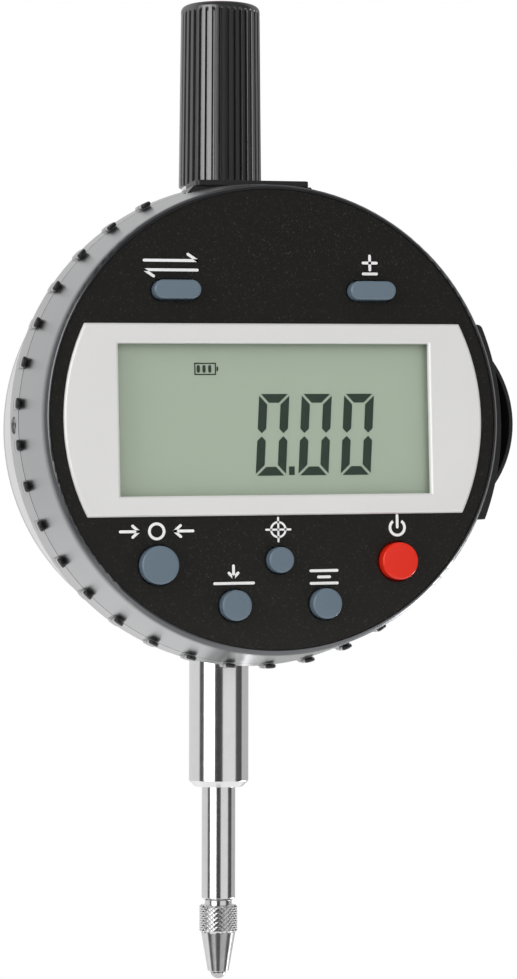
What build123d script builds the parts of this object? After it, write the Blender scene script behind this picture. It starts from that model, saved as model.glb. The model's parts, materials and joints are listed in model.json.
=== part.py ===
from build123d import *
from math import asin, atan2, cos, degrees, pi, radians, sin, sqrt, tan
import os

os.makedirs("parts", exist_ok=True)

# Digital indicator, in millimetres. The origin is the middle of the stem's clamping wall,
# +Z runs up the spindle, the display looks along -Y and +X is to its right.

# Fits shared by all pieces
run_fit = 0.03          # radial clearance of a shaft in its bush
seat_fit = 0.02         # radial clearance where a piece is glued, pressed or screwed in place
guide_gap = 0.15        # gap beside a moulded piece that slides
edge_break = 0.3        # chamfer on small turned and moulded edges

# Small screws
small_screw_radius = 0.6
shell_screw_radius = 0.8
head_share = 1.7        # radius of a pan head over that of its thread
driver_width = 0.4
driver_depth = 0.35
hex_radius = 0.4
hex_depth = 0.5

# Layout
head_turn = 1.25        # rest lean of the display, anticlockwise seen from the front, degrees
travel = 12.5           # stroke of the spindle

# Stem
stem_radius = 4.0
stem_half = 9.2         # half the length of the clamping wall
stem_chamfer = 0.8
stem_bore = 3.0
stem_reveal = 0.4       # tube that shows between the clamping wall and the housing
shank_radius = 4.5      # thicker end of the stem inside the housing
bush_length = 10.0

# Housing
housing_radius = 28.4
housing_front = 12.2    # front face, ahead of the stem axis
housing_back = 5.6      # open back edge, behind the stem axis
housing_wall = 2.2
housing_edge = 0.5
front_wall = 2.0
block_width = 16.0      # solid blocks round the stem and the neck
block_depth = 5.4
stem_block_rise = 3.2   # the blocks' height inside the cavity
neck_block_drop = 6.0
pillar_radius = 2.4
pillar_inset = 2.2      # from the cavity's wall to the pillars' middle
pillar_count = 4
pillar_start = 45.0
cover_thickness = 1.4
cover_round = 0.7
cover_screw_radius = 1.0
cover_screw_length = 6.0
countersink = 0.75
seal_inset = 3.0
seal_radius = 0.7
seal_gap = 0.1

# Spindle
spindle_radius = 2.25
spindle_end = 25.2      # depth of the rod's lower end below the origin
point_neck_radius = 1.8
point_neck_length = 0.7
knurl_radius = 2.575
knurl_length = 3.6
knurl_edge = 0.25
cone_radius = 2.3
cone_tip_radius = 1.4
cone_length = 5.2
ball_radius = 1.05
thread_radius = 1.1
thread_length = 4.0
nut_radius = 2.9
nut_length = 2.6
nut_clear = 2.0         # from the neck's spigot up to the nut at rest

# Scale carrier and its guide
carrier_width = 9.0
carrier_front = 4.4
carrier_back = 3.4
carrier_length = 24.0
buffer_radius = 4.2
buffer_height = 1.5
strip_thickness = 0.8
strip_width = 8.0
strip_margin = 0.5
reader_gap = 0.3
board_thickness = 1.0
reader_low, reader_high = -10.0, 14.0       # edges of the reader board, from the swivel axis
reader_left, reader_right = -14.0, 8.5
reader_screw_inset = 1.6
reader_screw_grip = 2.5
post_share = 2.3
chip_size = 5.0
chip_height = 1.0
chip_edge = 0.2
reader_chip_place = (-8.0, 6.0)
socket_size = 4.0
socket_height = 1.5
guide_pin_radius = 1.0
guide_pin_rise = 12.0   # above the carrier's foot
guide_pin_seat = 1.5    # length held in the carrier
rail_x = 9.5
rail_width = 3.5
rail_back = 2.4
rail_margin = 6.0       # rail beyond the pin's travel, each end
rail_screw_margin = 3.6
rail_slot = 2.5
arm_reach = 6.0
arm_height = 2.0
spring_x = -9.0
spring_pin_radius = 0.7
spring_pin_reach = 1.5
spring_post_rise = 3.5  # above the stem's block
coil_radius = 1.6
wire_radius = 0.2
eye_seat = 0.18         # how far the eye's wire sinks into the coil's end
coil_turns = 15

# Neck and fluted cap
neck_radius = 4.5
neck_collar = 5.2
collar_length = 4.98
neck_spigot = 4.2
neck_spigot_length = 5.0
neck_edge = 0.4
cap_foot_radius = 5.585
cap_top_radius = 5.33
cap_bore = 3.5
cap_roof = 1.5
cap_rim = 1.0
cap_round = 0.6
cap_spare = 1.0         # free length above the lifted spindle
flute_count = 36
flute_depth = 0.4
crest_share = 0.55      # part of a flute's pitch that is crest

# Display head, depths measured ahead of the stem axis
swivel_gap = 0.15
hub_radius = 7.5
hub_bore = 3.6
hub_flange = 9.5
hub_flange_thickness = 1.5
hub_screw_circle = 8.4
hub_screw_start = 90.0
hub_screw_count = 3
ring_radius = 9.6
ring_thickness = 1.0
ring_screw_circle = 5.5
ring_screw_start = 30.0
ring_screw_grip = 2.2
shell_wall = 1.55
shell_side = 1.7
seam_depth = 17.0
seam_radius = 31.2
band_depth = 14.0       # where the rear band is widest
band_radius = 31.55
band_round = 1.2
rib_count = 37
rib_middle = 180.0      # the ribs are evenly spaced either side of this angle
rib_width = 1.5
rib_radius = 31.85
rib_front = 18.4
rib_back = 14.5
rib_root = 30.4
over_gap = 0.06         # ribs, port and battery bezel over the front bezel's skirt
shoulder_depth = 26.0
shoulder_radius = 30.05
lip_depth = 27.35
lip_round = 0.6
lip_draft = 0.1
face_radius = 29.35
face_depth = 27.2
face_thickness = 1.2
ledge_radius = 27.7
ledge_thickness = 1.0
bezel_bore = 28.6
boss_circle = 26.8
boss_radius = 1.7
boss_angle = 35.0
shell_screw_head = 1.3

# Display stack
frame_radius = 27.6
frame_half_height = 12.18
frame_proud = 0.4
frame_thickness = 0.8
frame_bevel = 0.25
window_width = 41.0
window_height = 19.2
pane_margin = 1.0
lcd_width = 45.0
lcd_height = 22.8
lcd_thickness = 1.8
lcd_gap = 0.15
digit_thickness = 0.05
digit_width = 4.0
digit_height = 10.4
digit_stroke = 1.12
digit_mitre = 0.23      # how far the strokes' corners are cut back
digit_parting = 0.2     # half the gap between the upper and lower strokes
digit_slant = 3.7
digit_pitch = 5.67
first_digit = (-0.12, -1.9)
dot_place = (2.35, -6.5)
dot_width, dot_height = 0.75, 1.1
holder_wall = 1.1
lug_width = 2.6
lug_height = 10.0
lug_thickness = 2.0
lug_screw_rise = 3.0
board_depth = 22.4      # front face of the main board
main_board_radius = 27.5
main_chip_size = 7.0
main_chip_place = (-10.0, 4.0)
lead_socket_size = 5.0
lead_socket_height = 2.0
lead_radius = 1.0
lead_gap = 0.2
strip_rise = 9.5
strip_length = 40.0
strip_height = 1.6

# Buttons: name, width, height, place right and up from the face centre
button_height = 1.5
button_gap = 0.2
button_travel = 0.35
button_round = 0.3
button_flange = 0.7
flange_thickness = 1.0
plunger_radius = 1.0
button_clear = 0.13     # from the pressed plunger to its dome
mat_thickness = 1.0
mat_half = 2.0
dome_radius = 1.5
dome_height = 0.3
dome_taper = 30.0
oblong = (6.1, 2.4)
zero_size, origin_size, side_size, power_size = 4.85, 3.3, 3.9, 4.8
buttons = [
    ("button_units", oblong, (-12.9, 16.36)),
    ("button_sign", oblong, (12.9, 16.36)),
    ("button_zero", (zero_size, zero_size), (-15.8, -18.27)),
    ("button_origin", (origin_size, origin_size), (0.0, -17.87)),
    ("button_preset", (side_size, side_size), (-5.96, -23.5)),
    ("button_limits", (side_size, side_size), (5.96, -23.5)),
    ("button_power", (power_size, power_size), (15.8, -18.27)),
]

# Battery drawer
cell_radius = 10.0
cell_thickness = 3.2
cell_x = 21.75
drawer_wall = 1.5
drawer_back = 13.55
drawer_floor = 0.75
cell_gap = 0.1
grip_rim = 0.55
grip_recess = 3.0
grip_proud = 1.95       # round end of the drawer beyond the pad
pad_proud = 2.15        # pad beyond the head's band
pad_side = 1.3          # pad beside the drawer
pad_back = 12.9
pad_round = 0.8
rail_wall = 1.0
rail_clear = 1.0        # end of the drawer rails to the shell's side
cell_cap_radius = 8.8
cell_cap_height = 0.5
contact_leaf = 0.2
contact_width = 2.5
contact_rise = 4.0
contact_foot = (13.0, 16.0)     # along the board, from the swivel axis
contact_knee = 22.0
contact_tip = 24.0
contact_clear = 0.3

# Data port
port_half = 7.9
port_foot_half = 9.0
port_foot = 29.5
port_floor = 26.0
port_top = 30.75
port_cover_inset = 0.3
port_cover_thickness = 0.75
port_slot_width = 11.4
port_slot_height = 3.4
port_slot_depth = 3.6
port_middle = 15.75
port_contact_radius = 0.35
port_contact_pitch = 2.0
port_contact_count = 5
port_contact_rise = 1.15
port_tail = 1.0
port_tongue = 1.6
port_cover_front = 18.8
port_cover_round = 0.6

# Stop pin and set screw
stop_circle = 22.0
stop_radius = 0.9
stop_depth = 0.8
stop_low, stop_high = -90.0, 180.0
set_screw_radius = 1.1
set_screw_depth = 15.2
set_screw_recess = 0.3
set_screw_length = 2.6

cut_reach = 1.0         # how far a cut runs into the open beyond the wall that it opens

# Places worked out from the sizes above
face_height = stem_half + stem_reveal + housing_radius
head_right = (cos(radians(head_turn)), 0, sin(radians(head_turn)))
head_up = (-sin(radians(head_turn)), 0, cos(radians(head_turn)))
swivel = Axis((0, 0, face_height), (0, 1, 0))
section = Plane.XY.offset(face_height)
cavity_radius = housing_radius - housing_wall
pillar_circle = cavity_radius - pillar_inset
seal_circle = housing_radius - seal_inset
shell_back = housing_front + swivel_gap
shell_floor = shell_back + shell_wall
hub_front = shell_floor + swivel_gap
block_top = face_height - cavity_radius + stem_block_rise
carrier_foot = block_top + buffer_height
carrier_top = carrier_foot + carrier_length
guide_pin_z = carrier_foot + guide_pin_rise
spring_pin_z = carrier_top - arm_height / 2
spring_post_z = block_top + spring_post_rise
rail_low = guide_pin_z - rail_margin
rail_high = guide_pin_z + travel + rail_margin
rail_screw_places = [(rail_x + rail_width / 2, z - face_height)
                     for z in (guide_pin_z - rail_screw_margin, guide_pin_z + travel + rail_screw_margin)]
reader_back = carrier_front + strip_thickness + reader_gap
reader_front = reader_back + board_thickness
reader_screw_places = [(x, z) for x in (reader_left + reader_screw_inset, reader_right - reader_screw_inset)
                       for z in (reader_low + reader_screw_inset, reader_high - reader_screw_inset)]
neck_foot = face_height + sqrt(housing_radius**2 - (neck_collar + seat_fit)**2)
neck_block = face_height + cavity_radius - neck_block_drop
cap_foot_z = neck_foot + collar_length
spindle_top = cap_foot_z + neck_spigot_length + nut_clear + nut_length
cap_top_z = spindle_top + travel + cap_spare + cap_roof
face_back = face_depth - face_thickness
frame_front = face_depth + frame_proud
frame_back = frame_front - frame_thickness
lcd_front = face_back - lcd_gap
lcd_back = lcd_front - lcd_thickness
board_back = board_depth - board_thickness
flange_front = face_back - seat_fit
flange_back = flange_front - flange_thickness
plunger_length = flange_back - board_depth - mat_thickness - dome_height - button_travel - button_clear
drawer_front = drawer_back + drawer_floor + cell_gap + cell_thickness
drawer_half = cell_radius + cell_gap + drawer_wall
pad_half = drawer_half + pad_side
pad_radius = band_radius + pad_proud
drawer_radius = pad_radius + grip_proud - cell_x
port_cover_half = port_half - port_cover_inset
rib_pitch = 360 / rib_count
skirt_slope = (seam_radius - shoulder_radius) / (shoulder_depth - seam_depth)
boss_places = [(x * boss_circle * cos(radians(boss_angle)), y * boss_circle * sin(radians(boss_angle)))
               for x in (-1, 1) for y in (-1, 1)]


def across(depth):
    """A plane that faces the front, this far ahead of the stem axis, level with the housing."""
    return Plane(origin=(0, -depth, face_height), x_dir=(1, 0, 0), z_dir=(0, -1, 0))


def on_head(depth, right=0.0, up=0.0):
    """The same plane turned with the display head, its origin moved right and up on it."""
    x = right * head_right[0] + up * head_up[0]
    z = right * head_right[2] + up * head_up[2]
    return Plane(origin=(x, -depth, face_height + z), x_dir=head_right, z_dir=(0, -1, 0))


def around(circle, count, start):
    """Evenly spaced points on a circle."""
    angles = [radians(start + 360 / count * step) for step in range(count)]
    return [(circle * cos(angle), circle * sin(angle)) for angle in angles]


hub_screw_places = around(hub_screw_circle, hub_screw_count, hub_screw_start)
ring_screw_places = around(ring_screw_circle, hub_screw_count, ring_screw_start)


def skirt_radius(depth):
    """Outer radius of the front bezel's sloping side."""
    return seam_radius - skirt_slope * (depth - seam_depth)


# Stem: ground tube, thicker where it is pressed into the housing
with BuildPart() as stem:
    with BuildSketch(Plane.XY.offset(-stem_half - stem_chamfer)):
        Circle(stem_radius)
    extrude(amount=2 * stem_half + stem_chamfer)
    with BuildSketch(Plane.XY.offset(stem_half)):
        Circle(shank_radius)
    extrude(amount=block_top - stem_half)
    chamfer(stem.edges().group_by(Axis.Z)[0], length=stem_chamfer)
    with BuildSketch(Plane.XY.offset(-stem_half - stem_chamfer)):
        Circle(stem_bore)
    extrude(amount=block_top + stem_half + stem_chamfer, mode=Mode.SUBTRACT)
stem.part.label = "stem"
export_step(stem.part, "parts/stem.step")

# Lower bush, flush with the stem's end
with BuildPart() as lower_bush:
    with BuildSketch(Plane.XY.offset(-stem_half - stem_chamfer)):
        Circle(stem_bore - seat_fit)
        Circle(spindle_radius + run_fit, mode=Mode.SUBTRACT)
    extrude(amount=bush_length)
lower_bush.part.label = "lower_bush"
export_step(lower_bush.part, "parts/lower_bush.step")

# Housing: a round cup, open to the back, with blocks for stem and neck and four screw pillars
with BuildPart() as back_housing:
    with BuildSketch(across(-housing_back)):
        Circle(housing_radius)
    extrude(amount=housing_front + housing_back)
    chamfer(back_housing.edges().group_by(Axis.Y)[0], length=housing_edge)
    with BuildSketch(across(-housing_back)):
        Circle(cavity_radius)
        with Locations((0, block_top - face_height - cavity_radius)):
            Rectangle(block_width, 2 * cavity_radius, mode=Mode.SUBTRACT)
        with Locations((0, neck_block - face_height + cavity_radius)):
            Rectangle(block_width, 2 * cavity_radius, mode=Mode.SUBTRACT)
        with PolarLocations(pillar_circle, pillar_count, start_angle=pillar_start):
            Circle(pillar_radius, mode=Mode.SUBTRACT)
    extrude(amount=housing_front + housing_back - front_wall, mode=Mode.SUBTRACT)
    with BuildSketch(across(-housing_back)):
        Rectangle(block_width, 2 * cavity_radius)
    extrude(amount=housing_back - block_depth, mode=Mode.SUBTRACT)
    with BuildSketch(across(-housing_back)):
        with PolarLocations(pillar_circle, pillar_count, start_angle=pillar_start):
            Circle(cover_screw_radius + seat_fit)
    extrude(amount=cover_screw_length, mode=Mode.SUBTRACT)
    with BuildSketch(across(housing_front - front_wall)):
        Circle(hub_radius + seat_fit)
        with Locations(*hub_screw_places):
            Circle(small_screw_radius + seat_fit)
    extrude(amount=front_wall, mode=Mode.SUBTRACT)
    with BuildSketch(Plane.XY.offset(face_height - housing_radius)):
        Circle(shank_radius + seat_fit)
    extrude(amount=block_top - face_height + housing_radius, mode=Mode.SUBTRACT)
    with BuildSketch(Plane.XY.offset(neck_block)):
        Circle(neck_radius + seat_fit)
    extrude(amount=face_height + housing_radius - neck_block, mode=Mode.SUBTRACT)
    with BuildSketch(Plane.XY.offset(neck_foot)):
        Circle(neck_collar + seat_fit)
    extrude(amount=housing_radius, mode=Mode.SUBTRACT)
    with BuildSketch(on_head(housing_front)):
        with BuildLine(mode=Mode.PRIVATE):
            stop_path = CenterArc((0, 0), stop_circle, 90 - stop_high, stop_high - stop_low)
        SlotArc(stop_path, 2 * (stop_radius + guide_gap))
    extrude(amount=-stop_depth - guide_gap, mode=Mode.SUBTRACT)
    with BuildSketch(across(housing_front)):
        Circle(seal_circle + seal_radius + guide_gap)
        Circle(seal_circle - seal_radius - guide_gap, mode=Mode.SUBTRACT)
    extrude(amount=-2 * seal_radius, mode=Mode.SUBTRACT)
    with BuildSketch(across(housing_front - front_wall)):
        with Locations(*rail_screw_places):
            Circle(shell_screw_radius + seat_fit)
        with Locations((spring_x, spring_post_z - face_height)):
            Circle(spring_pin_radius + seat_fit)
    extrude(amount=front_wall / 2, mode=Mode.SUBTRACT)
back_housing.part.label = "back_housing"
export_step(back_housing.part, "parts/back_housing.step")

# Rear cover: flat plate with a rounded edge and countersunk holes
with BuildPart() as rear_cover:
    with BuildSketch(across(-housing_back - cover_thickness)):
        Circle(housing_radius)
    extrude(amount=cover_thickness)
    fillet(rear_cover.edges().group_by(Axis.Y)[-1], radius=cover_round)
    with BuildSketch(across(-housing_back - cover_thickness)):
        with PolarLocations(pillar_circle, pillar_count, start_angle=pillar_start):
            Circle(cover_screw_radius + seat_fit)
    extrude(amount=cover_thickness, mode=Mode.SUBTRACT)
    chamfer(rear_cover.edges().group_by(Axis.Y)[-1].filter_by(GeomType.CIRCLE).group_by(SortBy.RADIUS)[0],
            length=countersink + seat_fit)
rear_cover.part.label = "rear_cover"
export_step(rear_cover.part, "parts/rear_cover.step")

# Cover screws: countersunk, with a straight slot
with BuildPart() as rear_cover_screws:
    with BuildSketch(across(-housing_back - cover_thickness)):
        with PolarLocations(pillar_circle, pillar_count, start_angle=pillar_start):
            Circle(cover_screw_radius)
    extrude(amount=cover_thickness + cover_screw_length - housing_edge)
    with BuildSketch(across(-housing_back - cover_thickness)):
        with PolarLocations(pillar_circle, pillar_count, start_angle=pillar_start):
            Circle(cover_screw_radius + countersink)
    extrude(amount=countersink, taper=45)
    with BuildSketch(across(-housing_back - cover_thickness)):
        with PolarLocations(pillar_circle, pillar_count, start_angle=pillar_start):
            Rectangle(4 * cover_screw_radius, driver_width)
    extrude(amount=driver_depth, mode=Mode.SUBTRACT)
rear_cover_screws.part.label = "rear_cover_screws"
export_step(rear_cover_screws.part, "parts/rear_cover_screws.step")

# Neck: turned collar in the top block, with a spigot that the fluted cap pushes on
with BuildPart() as cap_neck:
    with BuildSketch(Plane.XY.offset(neck_block)):
        Circle(neck_radius)
    extrude(amount=neck_foot - neck_block)
    with BuildSketch(Plane.XY.offset(neck_foot)):
        Circle(neck_collar)
    extrude(amount=cap_foot_z - neck_foot)
    with BuildSketch(Plane.XY.offset(cap_foot_z)):
        Circle(neck_spigot)
    extrude(amount=neck_spigot_length)
    chamfer(cap_neck.edges().group_by(Axis.Z)[-1], length=neck_edge)
    with BuildSketch(Plane.XY.offset(neck_block)):
        Circle(stem_bore)
    extrude(amount=cap_foot_z + neck_spigot_length - neck_block, mode=Mode.SUBTRACT)
cap_neck.part.label = "cap_neck"
export_step(cap_neck.part, "parts/cap_neck.step")

# Upper bush, flush with the spigot's top
with BuildPart() as upper_bush:
    with BuildSketch(Plane.XY.offset(cap_foot_z + neck_spigot_length - bush_length)):
        Circle(stem_bore - seat_fit)
        Circle(spindle_radius + run_fit, mode=Mode.SUBTRACT)
    extrude(amount=bush_length)
upper_bush.part.label = "upper_bush"
export_step(upper_bush.part, "parts/upper_bush.step")


def flutes(radius):
    """Corner points of the cap's fluted outline for this outer radius."""
    pitch = 2 * pi / flute_count
    points = []
    for flute in range(flute_count):
        middle = flute * pitch
        for r, share in ((radius, -crest_share / 2), (radius, crest_share / 2),
                         (radius - flute_depth, crest_share / 2 + 0.1),
                         (radius - flute_depth, 1 - crest_share / 2 - 0.1)):
            angle = middle + share * pitch
            points.append((r * cos(angle), r * sin(angle)))
    return points


# Fluted cap: pushes on the neck and covers the spindle's upper end
with BuildPart() as fluted_cap:
    with BuildSketch(Plane.XY.offset(cap_foot_z)):
        Polygon(*flutes(cap_foot_radius), align=None)
    with BuildSketch(Plane.XY.offset(cap_top_z - cap_rim)):
        Polygon(*flutes(cap_top_radius), align=None)
    loft(ruled=True)
    with BuildSketch(Plane.XY.offset(cap_top_z - cap_rim)):
        Circle(cap_top_radius)
    extrude(amount=cap_rim)
    fillet(fluted_cap.edges().group_by(Axis.Z)[-1], radius=cap_round)
    with BuildSketch(Plane.XY.offset(cap_foot_z)):
        Circle(cap_bore)
    extrude(amount=cap_top_z - cap_roof - cap_foot_z, mode=Mode.SUBTRACT)
    with BuildSketch(Plane.XY.offset(cap_foot_z)):
        Circle(neck_spigot + run_fit)
    extrude(amount=neck_spigot_length + guide_gap, mode=Mode.SUBTRACT)
fluted_cap.part.label = "fluted_cap"
export_step(fluted_cap.part, "parts/fluted_cap.step")

# Swivel hub: flange inside the housing, tube through its front wall
with BuildPart() as swivel_hub:
    with BuildSketch(across(housing_front - front_wall - hub_flange_thickness)):
        Circle(hub_flange)
    extrude(amount=hub_flange_thickness)
    with BuildSketch(across(housing_front - front_wall)):
        Circle(hub_radius)
    extrude(amount=hub_front - housing_front + front_wall)
    with BuildSketch(across(housing_front - front_wall - hub_flange_thickness)):
        Circle(hub_bore)
    extrude(amount=hub_front - housing_front + front_wall + hub_flange_thickness, mode=Mode.SUBTRACT)
    with BuildSketch(across(housing_front - front_wall - hub_flange_thickness)):
        with Locations(*hub_screw_places):
            Circle(small_screw_radius + seat_fit)
    extrude(amount=hub_flange_thickness, mode=Mode.SUBTRACT)
    with BuildSketch(across(hub_front)):
        with Locations(*ring_screw_places):
            Circle(small_screw_radius + seat_fit)
    extrude(amount=-ring_screw_grip - 2 * guide_gap, mode=Mode.SUBTRACT)
swivel_hub.part.label = "swivel_hub"
export_step(swivel_hub.part, "parts/swivel_hub.step")

# Seal between the housing and the head, in its groove with a hair of clearance
with BuildPart() as swivel_seal:
    with BuildSketch(section):
        with Locations((seal_circle, -shell_back + seal_radius + seal_gap)):
            Circle(seal_radius)
    revolve(axis=swivel)
swivel_seal.part.label = "swivel_seal"
export_step(swivel_seal.part, "parts/swivel_seal.step")

# Guide rail: stands on the housing's front wall, its slot open towards the spindle
with BuildPart() as guide_rail:
    with BuildSketch(Plane.XY.offset(rail_low)):
        with Locations((rail_x, rail_back)):
            Rectangle(rail_width, rail_back + housing_front - front_wall, align=(Align.MIN, Align.MAX))
    extrude(amount=rail_high - rail_low)
    with BuildSketch(Plane.YZ.offset(rail_x)):
        with Locations((0, guide_pin_z + travel / 2)):
            SlotOverall(travel + 2 * guide_pin_radius + 4 * guide_gap, 2 * (guide_pin_radius + run_fit),
                        rotation=90)
    extrude(amount=rail_slot, mode=Mode.SUBTRACT)
    with BuildSketch(across(-rail_back)):
        with Locations(*rail_screw_places):
            Circle(shell_screw_radius + seat_fit)
    extrude(amount=rail_back + housing_front, mode=Mode.SUBTRACT)
guide_rail.part.label = "guide_rail"
export_step(guide_rail.part, "parts/guide_rail.step")

with BuildPart() as rail_screws:
    with BuildSketch(across(-rail_back)):
        with Locations(*rail_screw_places):
            Circle(shell_screw_radius)
    extrude(amount=rail_back + housing_front - front_wall / 2 - guide_gap)
    with BuildSketch(across(-rail_back)):
        with Locations(*rail_screw_places):
            Circle(head_share * shell_screw_radius)
            Rectangle(2 * shell_screw_radius, driver_width, mode=Mode.SUBTRACT)
    extrude(amount=-shell_screw_radius)
rail_screws.part.label = "rail_screws"
export_step(rail_screws.part, "parts/rail_screws.step")

# Spindle: ground rod with a threaded hole for the contact point
with BuildPart() as spindle:
    with BuildSketch(Plane.XY.offset(-spindle_end)):
        Circle(spindle_radius)
    extrude(amount=spindle_end + spindle_top)
    chamfer(spindle.edges().group_by(Axis.Z)[0], length=edge_break)
    chamfer(spindle.edges().group_by(Axis.Z)[-1], length=edge_break)
    with BuildSketch(Plane.XY.offset(-spindle_end)):
        Circle(thread_radius + seat_fit)
    extrude(amount=thread_length + guide_gap, mode=Mode.SUBTRACT)
    with BuildSketch(Plane.XY.offset(spindle_top - nut_length)):
        Circle(spindle_radius)
        Circle(spindle_radius - seat_fit, mode=Mode.SUBTRACT)
    extrude(amount=nut_length, mode=Mode.SUBTRACT)
spindle.part.label = "spindle"
export_step(spindle.part, "parts/spindle.step")

# Contact point: thread, neck, knurled collar and cone
knurl_top = -spindle_end - point_neck_length
cone_top = knurl_top - knurl_length
cone_end = cone_top - cone_length
with BuildPart() as contact_point:
    with BuildSketch(Plane.XZ):
        with BuildLine():
            Polyline((0, -spindle_end + thread_length), (thread_radius, -spindle_end + thread_length),
                     (thread_radius, -spindle_end), (point_neck_radius, -spindle_end),
                     (point_neck_radius, knurl_top), (knurl_radius - knurl_edge, knurl_top),
                     (knurl_radius, knurl_top - knurl_edge), (knurl_radius, cone_top + knurl_edge),
                     (knurl_radius - knurl_edge, cone_top), (cone_radius, cone_top),
                     (cone_tip_radius, cone_end), (0, cone_end), close=True)
        make_face()
    revolve(axis=Axis.Z)
    with Locations((0, 0, cone_end)):
        Sphere(ball_radius, mode=Mode.SUBTRACT)
contact_point.part.label = "contact_point"
export_step(contact_point.part, "parts/contact_point.step")

with BuildPart() as contact_ball:
    with Locations((0, 0, cone_end)):
        Sphere(ball_radius)
contact_ball.part.label = "contact_ball"
export_step(contact_ball.part, "parts/contact_ball.step")

# Nut on the spindle's upper end, which stops on the neck if the carrier is taken off
with BuildPart() as top_nut:
    with BuildSketch(Plane.XY.offset(spindle_top - nut_length)):
        Circle(nut_radius)
        Circle(spindle_radius, mode=Mode.SUBTRACT)
    extrude(amount=nut_length)
    chamfer(top_nut.edges().group_by(Axis.Z)[-1].group_by(SortBy.RADIUS)[-1], length=edge_break)
top_nut.part.label = "top_nut"
export_step(top_nut.part, "parts/top_nut.step")

# Rubber ring that the carrier lands on
with BuildPart() as stop_buffer:
    with BuildSketch(Plane.XY.offset(block_top)):
        Circle(buffer_radius)
        Circle(stem_bore, mode=Mode.SUBTRACT)
    extrude(amount=buffer_height)
stop_buffer.part.label = "stop_buffer"
export_step(stop_buffer.part, "parts/stop_buffer.step")

# Scale carrier: clamped block with an arm for the spring and a hole for the guide pin
with BuildPart() as scale_carrier:
    with BuildSketch(Plane.XY.offset(carrier_foot)):
        with Locations((0, -carrier_front)):
            Rectangle(carrier_width, carrier_front + carrier_back, align=(Align.CENTER, Align.MIN))
    extrude(amount=carrier_length)
    with BuildSketch(Plane.XY.offset(carrier_top - arm_height)):
        with Locations((-carrier_width / 2, carrier_back)):
            Rectangle(arm_reach, carrier_back - wire_radius - 2 * guide_gap, align=(Align.MAX, Align.MAX))
    extrude(amount=arm_height)
    chamfer(scale_carrier.edges().filter_by(Axis.Z), length=edge_break)
    with BuildSketch(Plane.XY.offset(carrier_foot)):
        Circle(spindle_radius + seat_fit)
    extrude(amount=carrier_length, mode=Mode.SUBTRACT)
    with BuildSketch(Plane.YZ.offset(carrier_width / 2)):
        with Locations((0, guide_pin_z)):
            Circle(guide_pin_radius + seat_fit)
    extrude(amount=-guide_pin_seat, mode=Mode.SUBTRACT)
    with BuildSketch(Plane.XZ.offset(-carrier_back)):
        with Locations((0, spring_pin_z)):
            Circle(shell_screw_radius + seat_fit)
        with Locations((spring_x, spring_pin_z)):
            Circle(spring_pin_radius + seat_fit)
    extrude(amount=carrier_back, mode=Mode.SUBTRACT)
scale_carrier.part.label = "scale_carrier"
export_step(scale_carrier.part, "parts/scale_carrier.step")

# Set screw that clamps the carrier on the spindle
with BuildPart() as carrier_screw:
    with BuildSketch(Plane.XZ.offset(-carrier_back + guide_gap)):
        with Locations((0, spring_pin_z)):
            Circle(shell_screw_radius)
    extrude(amount=carrier_back - spindle_radius - 2 * guide_gap)
    with BuildSketch(Plane.XZ.offset(-carrier_back + guide_gap)):
        with Locations((0, spring_pin_z)):
            RegularPolygon(hex_radius, 6)
    extrude(amount=hex_depth, mode=Mode.SUBTRACT)
carrier_screw.part.label = "carrier_screw"
export_step(carrier_screw.part, "parts/carrier_screw.step")

# Glass scale strip on the carrier's front
with BuildPart() as scale_strip:
    with BuildSketch(Plane.XZ.offset(carrier_front)):
        with Locations((0, carrier_foot + carrier_length / 2)):
            Rectangle(strip_width, carrier_length - 2 * strip_margin)
    extrude(amount=strip_thickness)
scale_strip.part.label = "scale_strip"
export_step(scale_strip.part, "parts/scale_strip.step")

# Guide pin in the rail's slot, and the pin that the spring hooks on
with BuildPart() as guide_pin:
    with BuildSketch(Plane.YZ.offset(carrier_width / 2 - guide_pin_seat)):
        with Locations((0, guide_pin_z)):
            Circle(guide_pin_radius)
    extrude(amount=rail_x + rail_slot - guide_gap - carrier_width / 2 + guide_pin_seat)
guide_pin.part.label = "guide_pin"
export_step(guide_pin.part, "parts/guide_pin.step")

with BuildPart() as spring_pin:
    with BuildSketch(Plane.XZ.offset(-carrier_back)):
        with Locations((spring_x, spring_pin_z)):
            Circle(spring_pin_radius)
    extrude(amount=carrier_back + spring_pin_reach)
spring_pin.part.label = "spring_pin"
export_step(spring_pin.part, "parts/spring_pin.step")

with BuildPart() as spring_post:
    with BuildSketch(Plane.XZ.offset(-spring_pin_reach)):
        with Locations((spring_x, spring_post_z)):
            Circle(spring_pin_radius)
    extrude(amount=spring_pin_reach + housing_front - front_wall / 2 - guide_gap)
spring_post.part.label = "spring_post"
export_step(spring_post.part, "parts/spring_post.step")

# Extension spring between post and pin, with an eye at each end
eye_radius = spring_pin_radius + wire_radius + guide_gap
coil_low = spring_post_z + eye_radius + eye_seat
coil_high = spring_pin_z - eye_radius - eye_seat
with BuildPart() as return_spring:
    with BuildLine(Plane(origin=(spring_x, 0, coil_low))):
        Helix(pitch=(coil_high - coil_low) / coil_turns, height=coil_high - coil_low, radius=coil_radius)
    with BuildSketch(Plane.XZ):
        with Locations((spring_x + coil_radius, coil_low)):
            Circle(wire_radius)
    sweep(is_frenet=True)
    for z in (coil_low, coil_high):
        with BuildSketch(Plane.YZ.offset(spring_x)):
            with Locations((0, z)):
                Circle(wire_radius)
        extrude(amount=coil_radius)
    for z in (spring_post_z, spring_pin_z):
        with BuildSketch(Plane.YZ.offset(spring_x)):
            with Locations((0, z + eye_radius)):
                Circle(wire_radius)
        revolve(axis=Axis((spring_x, 0, z), (0, 1, 0)))
return_spring.part.label = "return_spring"
export_step(return_spring.part, "parts/return_spring.step")

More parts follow.
